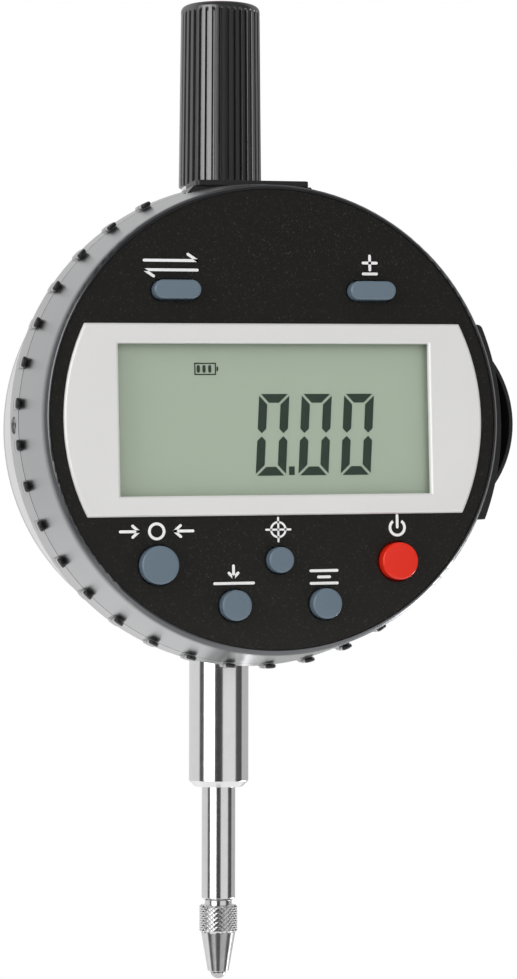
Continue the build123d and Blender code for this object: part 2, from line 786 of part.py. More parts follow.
# Reader board in front of the scale strip, its chip on its front, on four posts
with BuildPart() as reader_board:
    with BuildSketch(across(reader_back)):
        with Locations((reader_left, reader_low)):
            Rectangle(reader_right - reader_left, reader_high - reader_low, align=(Align.MIN, Align.MIN))
        with Locations(*reader_screw_places):
            Circle(small_screw_radius + seat_fit, mode=Mode.SUBTRACT)
    extrude(amount=board_thickness)
    with BuildSketch(across(reader_front)):
        with Locations(reader_chip_place):
            Rectangle(chip_size, chip_size)
    extrude(amount=chip_height)
    chamfer(reader_board.edges().group_by(Axis.Y)[0], length=chip_edge)
reader_board.part.label = "reader_board"
export_step(reader_board.part, "parts/reader_board.step")

with BuildPart() as reader_posts:
    with BuildSketch(across(reader_front)):
        with Locations(*reader_screw_places):
            Circle(post_share * small_screw_radius)
            Circle(small_screw_radius + seat_fit, mode=Mode.SUBTRACT)
    extrude(amount=housing_front - front_wall - reader_front)
reader_posts.part.label = "reader_posts"
export_step(reader_posts.part, "parts/reader_posts.step")

with BuildPart() as reader_socket:
    with BuildSketch(across(reader_front)):
        Rectangle(socket_size, socket_size)
    extrude(amount=socket_height)
reader_socket.part.label = "reader_socket"
export_step(reader_socket.part, "parts/reader_socket.step")

# Retaining ring on the hub's end: the head's back wall turns between it and the housing
with BuildPart() as retaining_ring:
    with BuildSketch(across(hub_front)):
        Circle(ring_radius)
        Circle(hub_bore, mode=Mode.SUBTRACT)
        with Locations(*ring_screw_places):
            Circle(small_screw_radius + seat_fit, mode=Mode.SUBTRACT)
    extrude(amount=ring_thickness)
retaining_ring.part.label = "retaining_ring"
export_step(retaining_ring.part, "parts/retaining_ring.step")

# Small pan-head screws of the fixed body: hub flange, retaining ring and reader board
with BuildPart() as small_screws:
    for seat, way, places, grip in (
            (housing_front - front_wall - hub_flange_thickness, 1, hub_screw_places,
             hub_flange_thickness + front_wall / 2),
            (hub_front + ring_thickness, -1, ring_screw_places, ring_thickness + ring_screw_grip),
            (reader_back, 1, reader_screw_places, board_thickness + reader_screw_grip)):
        with BuildSketch(across(seat)):
            with Locations(*places):
                Circle(small_screw_radius)
        extrude(amount=way * grip)
        with BuildSketch(across(seat)):
            with Locations(*places):
                Circle(head_share * small_screw_radius)
                Rectangle(2 * small_screw_radius, driver_width, mode=Mode.SUBTRACT)
        extrude(amount=-way * small_screw_radius)
small_screws.part.label = "small_screws"
export_step(small_screws.part, "parts/small_screws.step")

# Front bezel: sloping side, rounded shoulder, a seat and ledge for the face plate, four bosses
with BuildPart() as front_bezel:
    with BuildSketch(section):
        with BuildLine():
            Polyline((bezel_bore, -seam_depth), (seam_radius, -seam_depth),
                     (shoulder_radius, -shoulder_depth), (shoulder_radius - lip_draft, -lip_depth),
                     (face_radius, -lip_depth), (face_radius, -face_back), (ledge_radius, -face_back),
                     (ledge_radius, -face_back + ledge_thickness), (bezel_bore, -face_back + ledge_thickness),
                     close=True)
        make_face()
    revolve(axis=swivel)
    fillet(front_bezel.edges().group_by(Axis.Y)[0].group_by(SortBy.RADIUS)[-1], radius=lip_round)
    with BuildSketch(on_head(seam_depth)):
        with Locations(*boss_places):
            Circle(boss_radius)
    extrude(amount=face_back - seam_depth)
    with BuildSketch(on_head(seam_depth)):
        with Locations(*boss_places):
            Circle(shell_screw_radius + seat_fit)
    extrude(amount=face_back - seam_depth, mode=Mode.SUBTRACT)
    with BuildSketch(on_head(face_back)):
        with Locations(*boss_places):
            Circle(shell_screw_head + seat_fit)
    extrude(amount=-ledge_thickness, mode=Mode.SUBTRACT)
    with BuildSketch(on_head(seam_depth)):
        with Locations((0, port_floor)):
            Rectangle(2 * (port_foot_half + over_gap), seam_radius, align=(Align.CENTER, Align.MIN))
        with Locations((cell_x, 0)):
            Rectangle(seam_radius, 2 * (drawer_half + guide_gap), align=(Align.MIN, Align.CENTER))
    extrude(amount=rib_front + over_gap - seam_depth, mode=Mode.SUBTRACT)
    with BuildSketch(on_head(seam_depth)):
        with Locations((0, port_top - over_gap)):
            Rectangle(2 * (port_cover_half + guide_gap), seam_radius, align=(Align.CENTER, Align.MIN))
    extrude(amount=port_cover_front + guide_gap - seam_depth, mode=Mode.SUBTRACT)
front_bezel.part.label = "front_bezel"
export_step(front_bezel.part, "parts/front_bezel.step")

# Rear shell: flaring band with grip ribs, back wall with the swivel hole, port boss, drawer rails
rib_angles = [rib_middle + rib_pitch * (count + 0.5) for count in range(rib_count)]
port_clear = degrees(asin(port_foot_half / rib_radius)) + degrees(rib_width / rib_radius)
pad_clear = degrees(asin(pad_half / rib_radius)) + degrees(rib_width / rib_radius)


def apart(angle, middle):
    """Angle between two directions on the face, in degrees."""
    return abs((angle - middle + 180) % 360 - 180)


free_angles = [angle for angle in rib_angles if apart(angle, 90) > port_clear and apart(angle, 0) > pad_clear]
with BuildPart() as rear_shell:
    with BuildSketch(section):
        with BuildLine():
            Polyline((hub_radius + run_fit, -shell_back), (band_radius, -shell_back),
                     (band_radius, -band_depth), (seam_radius, -seam_depth),
                     (seam_radius - shell_side, -seam_depth), (seam_radius - shell_side, -shell_floor),
                     (hub_radius + run_fit, -shell_floor), close=True)
        make_face()
    revolve(axis=swivel)
    fillet(rear_shell.edges().group_by(Axis.Y)[-1].group_by(SortBy.RADIUS)[-1], radius=band_round)
    with BuildSketch(on_head(rib_back)):
        for angle in free_angles:
            with PolarLocations((rib_root + rib_radius) / 2, 1, start_angle=angle):
                Rectangle(rib_radius - rib_root, rib_width)
    extrude(amount=rib_front - rib_back)
    with BuildSketch(section):
        with BuildLine():
            Polyline((bezel_bore - cut_reach, -seam_depth), (seam_radius + over_gap, -seam_depth),
                     (skirt_radius(rib_front) + over_gap, -rib_front - over_gap),
                     (bezel_bore - cut_reach, -rib_front - over_gap), close=True)
        make_face()
    revolve(axis=swivel, mode=Mode.SUBTRACT)
    with BuildSketch(on_head(pad_back)):
        with BuildLine():
            Polyline((-port_foot_half, port_floor), (port_foot_half, port_floor),
                     (port_foot_half, port_foot), (port_half, port_top),
                     (-port_half, port_top), (-port_foot_half, port_foot), close=True)
        make_face()
    extrude(amount=rib_front - pad_back)
    with BuildSketch(on_head(shell_back)):
        with Locations((0, port_top)):
            Rectangle(2 * port_foot_half, seam_radius, align=(Align.CENTER, Align.MIN))
    extrude(amount=rib_front - shell_back, mode=Mode.SUBTRACT)
    with BuildSketch(on_head(shell_floor)):
        for side in (-1, 1):
            with Locations((cell_x - drawer_half, side * (drawer_half + guide_gap + rail_wall / 2))):
                Rectangle(sqrt((seam_radius - shell_side)**2 - drawer_half**2) - cell_x + drawer_half
                          - rail_clear, rail_wall, align=(Align.MIN, Align.CENTER))
        with Locations(*boss_places):
            Circle(boss_radius)
    extrude(amount=seam_depth - shell_floor)
    with BuildSketch(on_head(drawer_back - guide_gap)):
        with Locations((cell_x, 0)):
            Circle(drawer_half + guide_gap)
            Rectangle(2 * seam_radius, 2 * (drawer_half + guide_gap), align=(Align.MIN, Align.CENTER))
    extrude(amount=seam_depth - drawer_back + guide_gap, mode=Mode.SUBTRACT)
    with BuildSketch(on_head(shell_back)):
        with Locations((0, stop_circle)):
            Circle(stop_radius + seat_fit)
    extrude(amount=shell_wall, mode=Mode.SUBTRACT)
    with BuildSketch(on_head(seam_depth)):
        with Locations(*boss_places):
            Circle(shell_screw_radius + seat_fit)
    extrude(amount=shell_floor - seam_depth, mode=Mode.SUBTRACT)
    with BuildSketch(Plane(on_head(port_middle, 0, port_top).origin, x_dir=head_right, z_dir=head_up)):
        Rectangle(port_slot_width, port_slot_height)
    extrude(amount=-port_slot_depth, mode=Mode.SUBTRACT)
    with BuildSketch(Plane(on_head(port_middle, 0, port_top).origin, x_dir=head_right, z_dir=head_up)):
        with GridLocations(port_contact_pitch, 0, port_contact_count, 1):
            Circle(port_contact_radius + seat_fit)
    extrude(amount=port_floor - port_top, mode=Mode.SUBTRACT)
    with BuildSketch(Plane(on_head(set_screw_depth).origin, x_dir=head_up, z_dir=head_right)):
        Circle(set_screw_radius + seat_fit)
    extrude(amount=-2 * seam_radius, mode=Mode.SUBTRACT)
rear_shell.part.label = "rear_shell"
export_step(rear_shell.part, "parts/rear_shell.step")

# Shell screws: in from the front under the face plate, they hold bezel and shell together
with BuildPart() as shell_screws:
    with BuildSketch(on_head(face_back - ledge_thickness)):
        with Locations(*boss_places):
            Circle(shell_screw_head)
    extrude(amount=ledge_thickness)
    with BuildSketch(on_head(face_back)):
        with Locations(*boss_places):
            Rectangle(2 * shell_screw_head, driver_width)
    extrude(amount=-driver_depth, mode=Mode.SUBTRACT)
    with BuildSketch(on_head(face_back - ledge_thickness)):
        with Locations(*boss_places):
            Circle(shell_screw_radius)
    extrude(amount=shell_floor + guide_gap - face_back + ledge_thickness)
shell_screws.part.label = "shell_screws"
export_step(shell_screws.part, "parts/shell_screws.step")

# Stop pin: reaches from the head into the curved groove of the housing
with BuildPart() as stop_pin:
    with BuildSketch(on_head(shell_floor)):
        with Locations((0, stop_circle)):
            Circle(stop_radius)
    extrude(amount=housing_front - stop_depth - shell_floor)
stop_pin.part.label = "stop_pin"
export_step(stop_pin.part, "parts/stop_pin.step")

# Set screw in the side of the band, at nine o'clock
set_screw_end = band_radius - set_screw_recess
with BuildPart() as set_screw:
    with BuildSketch(Plane(on_head(set_screw_depth, -set_screw_end).origin, x_dir=head_up, z_dir=head_right)):
        Circle(set_screw_radius)
    extrude(amount=set_screw_length)
    with BuildSketch(Plane(on_head(set_screw_depth, -set_screw_end).origin, x_dir=head_up, z_dir=head_right)):
        RegularPolygon(hex_radius, 6)
    extrude(amount=hex_depth, mode=Mode.SUBTRACT)
set_screw.part.label = "set_screw"
export_step(set_screw.part, "parts/set_screw.step")

# Main board: rests on the bosses' flanks, with its chip and the lead's socket on its back
lug_screw_places = [(x * (lcd_width / 2 + seat_fit + holder_wall + lug_width / 2), y * lug_screw_rise)
                    for x in (-1, 1) for y in (-1, 1)]
with BuildPart() as main_board:
    with BuildSketch(on_head(board_back)):
        Circle(main_board_radius)
        with Locations(*boss_places):
            Circle(boss_radius + guide_gap, mode=Mode.SUBTRACT)
        with Locations(*lug_screw_places):
            Circle(small_screw_radius + seat_fit, mode=Mode.SUBTRACT)
    extrude(amount=board_thickness)
    with BuildSketch(on_head(board_back)):
        with Locations(main_chip_place):
            Rectangle(main_chip_size, main_chip_size)
    extrude(amount=-chip_height)
    chamfer(main_board.edges().group_by(Axis.Y)[-1], length=chip_edge)
main_board.part.label = "main_board"
export_step(main_board.part, "parts/main_board.step")

with BuildPart() as lead_socket:
    with BuildSketch(on_head(board_back)):
        Rectangle(lead_socket_size, lead_socket_size)
    extrude(amount=-lead_socket_height)
lead_socket.part.label = "lead_socket"
export_step(lead_socket.part, "parts/lead_socket.step")

# Signal lead: straight along the swivel axis, through ring and hub to the reader board
with BuildPart() as signal_lead:
    with BuildSketch(on_head(reader_front + socket_height + lead_gap)):
        Circle(lead_radius)
    extrude(amount=board_back - lead_socket_height - reader_front - socket_height - lead_gap)
signal_lead.part.label = "signal_lead"
export_step(signal_lead.part, "parts/signal_lead.step")

# Display holder: moulded frame round the panel, with a shelf behind it and a lug each side
holder_width = lcd_width + 2 * (seat_fit + holder_wall)
holder_height = lcd_height + 2 * (seat_fit + holder_wall)
with BuildPart() as lcd_holder:
    with BuildSketch(on_head(board_depth)):
        Rectangle(holder_width, holder_height)
        Rectangle(lcd_width - 2 * pane_margin, lcd_height - 2 * pane_margin, mode=Mode.SUBTRACT)
    extrude(amount=face_back - board_depth)
    with BuildSketch(on_head(lcd_back)):
        Rectangle(lcd_width + 2 * seat_fit, lcd_height + 2 * seat_fit)
    extrude(amount=face_back - lcd_back, mode=Mode.SUBTRACT)
    with BuildSketch(on_head(board_depth)):
        for side in (-1, 1):
            with Locations((side * (holder_width + lug_width) / 2, 0)):
                Rectangle(lug_width, lug_height)
        with Locations(*lug_screw_places):
            Circle(small_screw_radius + seat_fit, mode=Mode.SUBTRACT)
    extrude(amount=lug_thickness)
lcd_holder.part.label = "lcd_holder"
export_step(lcd_holder.part, "parts/lcd_holder.step")

# Board screws: up through the main board into the holder's lugs
with BuildPart() as board_screws:
    with BuildSketch(on_head(board_back)):
        with Locations(*lug_screw_places):
            Circle(small_screw_radius)
    extrude(amount=board_thickness + lug_thickness - guide_gap)
    with BuildSketch(on_head(board_back)):
        with Locations(*lug_screw_places):
            Circle(head_share * small_screw_radius)
            Rectangle(2 * small_screw_radius, driver_width, mode=Mode.SUBTRACT)
    extrude(amount=-small_screw_radius)
board_screws.part.label = "board_screws"
export_step(board_screws.part, "parts/board_screws.step")

# Display panel and the rubber strips that join it to the board
with BuildPart() as lcd_panel:
    with BuildSketch(on_head(lcd_back)):
        Rectangle(lcd_width, lcd_height)
    extrude(amount=lcd_thickness)
lcd_panel.part.label = "lcd_panel"
export_step(lcd_panel.part, "parts/lcd_panel.step")

with BuildPart() as contact_strips:
    with BuildSketch(on_head(board_depth)):
        with GridLocations(0, 2 * strip_rise, 1, 2):
            Rectangle(strip_length, strip_height)
    extrude(amount=lcd_back - board_depth)
contact_strips.part.label = "contact_strips"
export_step(contact_strips.part, "parts/contact_strips.step")


def zero_strokes(place):
    """Six mitred strokes of a slanted nought, as lists of corner points."""
    half_width, half_height = digit_width / 2, digit_height / 2
    inner = half_width - digit_stroke
    top = [(-half_width + digit_mitre, half_height), (half_width - digit_mitre, half_height),
           (inner - digit_mitre, half_height - digit_stroke),
           (-inner + digit_mitre, half_height - digit_stroke)]
    side = [(half_width, half_height - digit_mitre), (half_width, digit_parting + digit_stroke / 2),
            (half_width - digit_stroke / 2, digit_parting), (inner, digit_parting + digit_stroke / 2),
            (inner, half_height - digit_stroke - digit_mitre)]
    strokes = [top, [(x, -y) for x, y in top]]
    strokes += [[(left * x, low * y) for x, y in side] for left in (-1, 1) for low in (-1, 1)]
    slant = tan(radians(digit_slant))
    return [[(place[0] + x + slant * y, place[1] + y) for x, y in stroke] for stroke in strokes]


# Lit strokes of the display: three noughts and a point
with BuildPart() as lcd_segments:
    with BuildSketch(on_head(lcd_front)):
        for digit in range(3):
            for stroke in zero_strokes((first_digit[0] + digit * digit_pitch, first_digit[1])):
                Polygon(*stroke, align=None)
        with Locations(dot_place):
            Rectangle(dot_width, dot_height)
    extrude(amount=digit_thickness)
lcd_segments.part.label = "lcd_segments"
export_step(lcd_segments.part, "parts/lcd_segments.step")


def outlines(depth, grow, chosen):
    """Outlines of buttons at this depth, grown by this much: round, or oblong where wider than high."""
    with BuildSketch(on_head(depth)) as shapes:
        for name, (width, height), place in chosen:
            with Locations(place):
                if width > height:
                    SlotOverall(width + 2 * grow, height + 2 * grow)
                else:
                    Circle(height / 2 + grow)
    return shapes.sketch


# Face plate: disc with a pocket for the display frame, a window and the button holes
button_holes = outlines(face_back, button_gap, buttons)
with BuildPart() as face_plate:
    with BuildSketch(on_head(face_back)):
        Circle(face_radius - seat_fit)
        Rectangle(window_width + 2 * pane_margin, window_height + 2 * pane_margin, mode=Mode.SUBTRACT)
    extrude(amount=face_thickness)
    with BuildSketch(on_head(frame_back)):
        Circle(frame_radius + seat_fit)
        Rectangle(2 * face_radius, 2 * (frame_half_height + seat_fit), mode=Mode.INTERSECT)
    extrude(amount=frame_thickness, mode=Mode.SUBTRACT)
    extrude(button_holes, amount=face_thickness, mode=Mode.SUBTRACT)
face_plate.part.label = "face_plate"
export_step(face_plate.part, "parts/face_plate.step")

# Display frame: bright plate with arc ends, standing a little proud of the face
with BuildPart() as display_frame:
    with BuildSketch(on_head(frame_back)):
        Circle(frame_radius)
        Rectangle(2 * face_radius, 2 * frame_half_height, mode=Mode.INTERSECT)
        Rectangle(window_width, window_height, mode=Mode.SUBTRACT)
    extrude(amount=frame_thickness)
    chamfer(display_frame.edges().group_by(Axis.Y)[0], length=frame_bevel)
display_frame.part.label = "display_frame"
export_step(display_frame.part, "parts/display_frame.step")

# Clear pane in the face plate's window, held by the frame's rim
with BuildPart() as display_window:
    with BuildSketch(on_head(face_back)):
        Rectangle(window_width + 2 * (pane_margin - seat_fit), window_height + 2 * (pane_margin - seat_fit))
    extrude(amount=frame_back - face_back)
display_window.part.label = "display_window"
export_step(display_window.part, "parts/display_window.step")

# Buttons: a cap through the face plate, a flange behind it and a plunger towards the rubber mat
for button in buttons:
    button_name, button_size, button_place = button
    flange = outlines(flange_back, button_flange, [button])
    cap = outlines(flange_front, 0, [button])
    with BuildPart() as one_button:
        extrude(flange, amount=flange_thickness)
        extrude(cap, amount=face_depth + button_height - flange_front)
        fillet(one_button.edges().group_by(Axis.Y)[0], radius=button_round)
        with BuildSketch(on_head(flange_back)):
            with Locations(button_place):
                Circle(plunger_radius)
        extrude(amount=-plunger_length)
    one_button.part.label = button_name
    export_step(one_button.part, "parts/" + button_name + ".step")

# Rubber mats on the board, with a dome under each button
button_spots = {name: place for name, size, place in buttons}
mat_links = [("button_units", "button_sign"), ("button_zero", "button_origin"),
             ("button_origin", "button_power"), ("button_origin", "button_preset"),
             ("button_origin", "button_limits")]
with BuildPart() as button_mats:
    with BuildSketch(on_head(board_depth)):
        for first, second in mat_links:
            (x1, y1), (x2, y2) = button_spots[first], button_spots[second]
            with Locations(((x1 + x2) / 2, (y1 + y2) / 2)):
                SlotCenterToCenter(sqrt((x2 - x1)**2 + (y2 - y1)**2), 2 * mat_half,
                                   rotation=degrees(atan2(y2 - y1, x2 - x1)))
    extrude(amount=mat_thickness)
    with BuildSketch(on_head(board_depth + mat_thickness)):
        with Locations(*button_spots.values()):
            Circle(dome_radius)
    extrude(amount=dome_height, taper=dome_taper)
button_mats.part.label = "button_mats"
export_step(button_mats.part, "parts/button_mats.step")

# Battery bezel: arc pad on the head's side round the mouth of the drawer
with BuildPart() as battery_bezel:
    with BuildSketch(on_head(pad_back)):
        Circle(pad_radius)
        with Locations((cell_x, 0)):
            Rectangle(pad_radius, 2 * pad_half, align=(Align.MIN, Align.CENTER), mode=Mode.INTERSECT)
    extrude(amount=rib_front - pad_back)
    fillet(battery_bezel.edges().filter_by(Axis.Y).sort_by(SortBy.DISTANCE)[-2:], radius=pad_round)
    with BuildSketch(section):
        with BuildLine():
            Polyline((0, -shell_back), (band_radius + over_gap, -shell_back),
                     (band_radius + over_gap, -band_depth), (seam_radius + over_gap, -seam_depth),
                     (skirt_radius(rib_front) + over_gap, -rib_front), (0, -rib_front), close=True)
        make_face()
    revolve(axis=swivel, mode=Mode.SUBTRACT)
    with BuildSketch(on_head(drawer_back - guide_gap)):
        with Locations((cell_x, 0)):
            Rectangle(pad_radius, 2 * (drawer_half + guide_gap), align=(Align.MIN, Align.CENTER))
    extrude(amount=drawer_front - drawer_back + 2 * guide_gap, mode=Mode.SUBTRACT)
battery_bezel.part.label = "battery_bezel"
export_step(battery_bezel.part, "parts/battery_bezel.step")

# Battery drawer: tray with a pocket for the cell and a finger recess in its round outer end
with BuildPart() as battery_drawer:
    with BuildSketch(on_head(drawer_back)):
        with Locations((cell_x, 0)):
            Circle(drawer_half)
            Rectangle(drawer_radius, 2 * drawer_half, align=(Align.MIN, Align.CENTER))
            Circle(drawer_radius, mode=Mode.INTERSECT)
    extrude(amount=drawer_front - drawer_back)
    with BuildSketch(on_head(drawer_back + drawer_floor)):
        with Locations((cell_x, 0)):
            Circle(cell_radius + cell_gap)
    extrude(amount=drawer_front - drawer_back, mode=Mode.SUBTRACT)
    with BuildSketch(on_head(drawer_front)):
        with Locations((cell_x, 0)):
            Circle(drawer_radius - grip_rim)
        Circle(pad_radius + guide_gap, mode=Mode.SUBTRACT)
    extrude(amount=-grip_recess, mode=Mode.SUBTRACT)
battery_drawer.part.label = "battery_drawer"
export_step(battery_drawer.part, "parts/battery_drawer.step")

with BuildPart() as coin_cell:
    with BuildSketch(on_head(drawer_back + drawer_floor)):
        with Locations((cell_x, 0)):
            Circle(cell_radius)
    extrude(amount=cell_thickness - cell_cap_height)
    with BuildSketch(on_head(drawer_back + drawer_floor + cell_thickness - cell_cap_height)):
        with Locations((cell_x, 0)):
            Circle(cell_cap_radius)
    extrude(amount=cell_cap_height)
    fillet(coin_cell.edges().group_by(Axis.Y)[-1], radius=edge_break)
coin_cell.part.label = "coin_cell"
export_step(coin_cell.part, "parts/coin_cell.step")

# Battery contacts: two bent leaves on the back of the main board that reach towards the cell
leaf_low = drawer_front + contact_clear
with BuildPart() as battery_contacts:
    for rise in (-contact_rise, contact_rise):
        leaf_edge = on_head(0, 0, rise - contact_width / 2).origin
        with BuildSketch(Plane(leaf_edge, x_dir=head_right, z_dir=head_up)):
            with BuildLine():
                Polyline((contact_foot[0], -board_back), (contact_foot[1], -board_back),
                         (contact_knee, -leaf_low - contact_leaf),
                         (contact_tip, -leaf_low - 2 * contact_leaf),
                         (contact_tip, -leaf_low - contact_leaf), (contact_knee, -leaf_low),
                         (contact_foot[1], -board_back + contact_leaf),
                         (contact_foot[0], -board_back + contact_leaf), close=True)
            make_face()
        extrude(amount=contact_width)
battery_contacts.part.label = "battery_contacts"
export_step(battery_contacts.part, "parts/battery_contacts.step")

# Data port: contact pins in the slot of the port boss
port_plane = Plane(on_head(port_middle, 0, port_top).origin, x_dir=head_right, z_dir=head_up)
with BuildPart() as port_contacts:
    with BuildSketch(port_plane.offset(-port_slot_depth + port_contact_rise)):
        with GridLocations(port_contact_pitch, 0, port_contact_count, 1):
            Circle(port_contact_radius)
    extrude(amount=port_floor - port_tail - port_top + port_slot_depth - port_contact_rise)
port_contacts.part.label = "port_contacts"
export_step(port_contacts.part, "parts/port_contacts.step")

# Port cover: flat lid on the boss, its tongue in the slot
with BuildPart() as port_cover:
    with BuildSketch(port_plane):
        with Locations((0, port_middle - (pad_back + port_cover_front) / 2)):
            Rectangle(2 * port_cover_half, port_cover_front - pad_back)
    extrude(amount=port_cover_thickness)
    fillet(port_cover.edges().filter_by(Axis((0, 0, 0), head_up)), radius=port_cover_round)
    with BuildSketch(port_plane):
        Rectangle(port_slot_width - 2 * guide_gap, port_slot_height - 2 * guide_gap)
    extrude(amount=-port_tongue)
port_cover.part.label = "port_cover"
export_step(port_cover.part, "parts/port_cover.step")
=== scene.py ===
import bmesh
import bpy
import json
from math import atan2, cos, pi, radians, sin, sqrt
from mathutils import Matrix, Vector

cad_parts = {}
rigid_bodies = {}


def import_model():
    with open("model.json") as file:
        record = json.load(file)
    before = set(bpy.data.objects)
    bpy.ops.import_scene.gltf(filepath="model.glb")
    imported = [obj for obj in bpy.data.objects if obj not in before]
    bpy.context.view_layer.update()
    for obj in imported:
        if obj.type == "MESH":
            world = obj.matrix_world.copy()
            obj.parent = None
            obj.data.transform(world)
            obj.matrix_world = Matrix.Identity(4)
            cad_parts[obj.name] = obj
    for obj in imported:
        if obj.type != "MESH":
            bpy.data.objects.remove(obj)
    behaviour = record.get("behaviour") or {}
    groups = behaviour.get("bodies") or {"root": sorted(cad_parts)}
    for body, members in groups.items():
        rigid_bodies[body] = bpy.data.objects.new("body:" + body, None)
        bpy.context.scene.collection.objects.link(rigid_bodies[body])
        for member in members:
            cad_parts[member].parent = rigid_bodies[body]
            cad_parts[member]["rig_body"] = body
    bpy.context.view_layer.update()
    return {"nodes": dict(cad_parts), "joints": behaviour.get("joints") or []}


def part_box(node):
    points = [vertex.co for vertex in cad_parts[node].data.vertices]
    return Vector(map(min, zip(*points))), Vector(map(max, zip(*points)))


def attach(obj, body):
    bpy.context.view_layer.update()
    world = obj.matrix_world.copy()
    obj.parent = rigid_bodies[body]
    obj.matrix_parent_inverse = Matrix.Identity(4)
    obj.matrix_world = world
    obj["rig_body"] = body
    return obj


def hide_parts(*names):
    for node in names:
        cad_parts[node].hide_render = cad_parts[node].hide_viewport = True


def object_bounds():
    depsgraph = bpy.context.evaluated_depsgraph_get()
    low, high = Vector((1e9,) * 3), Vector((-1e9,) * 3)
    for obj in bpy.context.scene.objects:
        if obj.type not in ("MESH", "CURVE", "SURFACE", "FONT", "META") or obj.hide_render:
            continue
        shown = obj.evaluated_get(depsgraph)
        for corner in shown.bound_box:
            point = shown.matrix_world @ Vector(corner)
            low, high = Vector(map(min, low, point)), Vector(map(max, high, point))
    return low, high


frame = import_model()

# Stem and its bushes
# The stem is a plain ground steel tube, the clamping diameter of the indicator, pressed into the
# housing. A turned bronze bush at each end of the body guides the spindle.
mm = 0.001
around = 160                # facets of a turned piece


class Wire:
    """A socket of a node tree; arithmetic on it adds Math nodes."""

    def __init__(self, tree, socket=None):
        self.tree = tree
        self.socket = socket

    def node(self, kind, settings=None, sockets=None, output=0):
        """Adds a node, its settings first and then the values or links of its sockets."""
        made = self.tree.nodes.new(kind)
        for key, value in (settings or {}).items():
            setattr(made, key, value)
        for key, value in (sockets or {}).items():
            if isinstance(value, Wire):
                self.tree.links.new(value.socket, made.inputs[key])
            else:
                made.inputs[key].default_value = value
        return None if output is None else Wire(self.tree, made.outputs[output])

    def other(self, output):
        """Another output of the node that this socket belongs to."""
        return Wire(self.tree, self.socket.node.outputs[output])

    def maths(self, operation, *values):
        return self.node("ShaderNodeMath", {"operation": operation}, dict(enumerate(values)))

    def __add__(self, other):
        return self.maths("ADD", self, other)

    def __radd__(self, other):
        return self.maths("ADD", other, self)

    def __sub__(self, other):
        return self.maths("SUBTRACT", self, other)

    def __rsub__(self, other):
        return self.maths("SUBTRACT", other, self)

    def __mul__(self, other):
        return self.maths("MULTIPLY", self, other)

    def __rmul__(self, other):
        return self.maths("MULTIPLY", other, self)

    def __truediv__(self, other):
        return self.maths("DIVIDE", self, other)

    def __rtruediv__(self, other):
        return self.maths("DIVIDE", other, self)


def rise(value, low, high):
    """0 below low, 1 above high, and smooth between."""
    return value.node("ShaderNodeMapRange", {"interpolation_type": "SMOOTHSTEP"},
                      {"Value": value, "From Min": low, "From Max": high})


def noise(place, scale, detail=3.0, stretch=(1, 1, 1)):
    """Even noise of this many grains to the metre."""
    spread = place.node("ShaderNodeMapping", {},
                        {"Vector": place, "Scale": [scale * part for part in stretch]})
    return spread.node("ShaderNodeTexNoise", {}, {"Vector": spread, "Scale": 1.0, "Detail": detail})


def tint(mask, first, second):
    """A colour that goes from first to second as the mask goes from 0 to 1."""
    return mask.node("ShaderNodeMix", {"data_type": "RGBA"}, {0: mask, 6: first, 7: second}, 2)


def grey(level):
    return (level, level, level, 1)


def new_finish(name):
    """An empty material and a wire with the object's own coordinates."""
    finish = bpy.data.materials.new(name)
    finish.use_nodes = True
    finish.node_tree.nodes.clear()
    place = Wire(finish.node_tree).node("ShaderNodeTexCoord", output="Object")
    return finish, place


def shade(place, sockets, relief=None, depth=0.0):
    """Ends a material with one principled shader, and a bump of this depth in metres."""
    if relief is not None:
        bump = place.node("ShaderNodeBump", {},
                          {"Strength": 1.0, "Distance": depth, "Height": relief})
        sockets = dict(sockets, Normal=bump)
    shader = place.node("ShaderNodeBsdfPrincipled", {}, sockets)
    place.node("ShaderNodeOutputMaterial", {}, {"Surface": shader}, None)


def ground_metal(name, light, dark, rough, ring_depth):
    """Steel ground round its axis: fine rings along Z, and a gloss that wanders a little."""
    finish, place = new_finish(name)
    rings = noise(place, 9000.0, 4.0, (0.02, 0.02, 1.0))
    clouds = noise(place, 900.0)
    shade(place, {"Base Color": tint(clouds, grey(dark), grey(light)), "Metallic": 1.0,
                  "Roughness": rough + 0.06 * clouds + 0.05 * rings}, rings, ring_depth)
    return finish


def show(name, mesh, finish, body, stands_for=(), bevel=0.0, angle=30.0):
    """Makes a finished piece of a mesh, smooth up to an angle, edges broken, riding on a body."""
    mesh.materials.clear()
    mesh.materials.append(finish)
    mesh.shade_smooth()
    mesh.set_sharp_from_angle(angle=radians(angle))
    piece = bpy.data.objects.new(name, mesh)
    bpy.context.scene.collection.objects.link(piece)
    if bevel:
        edge = piece.modifiers.new("edge", "BEVEL")
        edge.width = bevel
        edge.segments = 3
        edge.limit_method = "ANGLE"
        edge.angle_limit = radians(angle)
        edge.harden_normals = True
        edge.use_clamp_overlap = True
    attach(piece, body)
    if stands_for:
        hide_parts(*stands_for)
    return piece


def dressed(node, finish, bevel=0.0, angle=30.0, reshape=None):
    """A merged copy of a CAD node, with its flat faces whole and its edges broken."""
    mesh = bpy.data.meshes.new(node)
    work = bmesh.new()
    work.from_mesh(frame["nodes"][node].data)
    bmesh.ops.remove_doubles(work, verts=work.verts, dist=0.002 * mm)
    bmesh.ops.dissolve_limit(work, angle_limit=radians(0.3), verts=work.verts, edges=work.edges)
    for corner in work.verts if reshape else ():
        corner.co = reshape(corner.co)
    work.to_mesh(mesh)
    work.free()
    body = frame["nodes"][node]["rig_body"]
    return show(node + "_dressed", mesh, finish, body, (node,), bevel, angle)


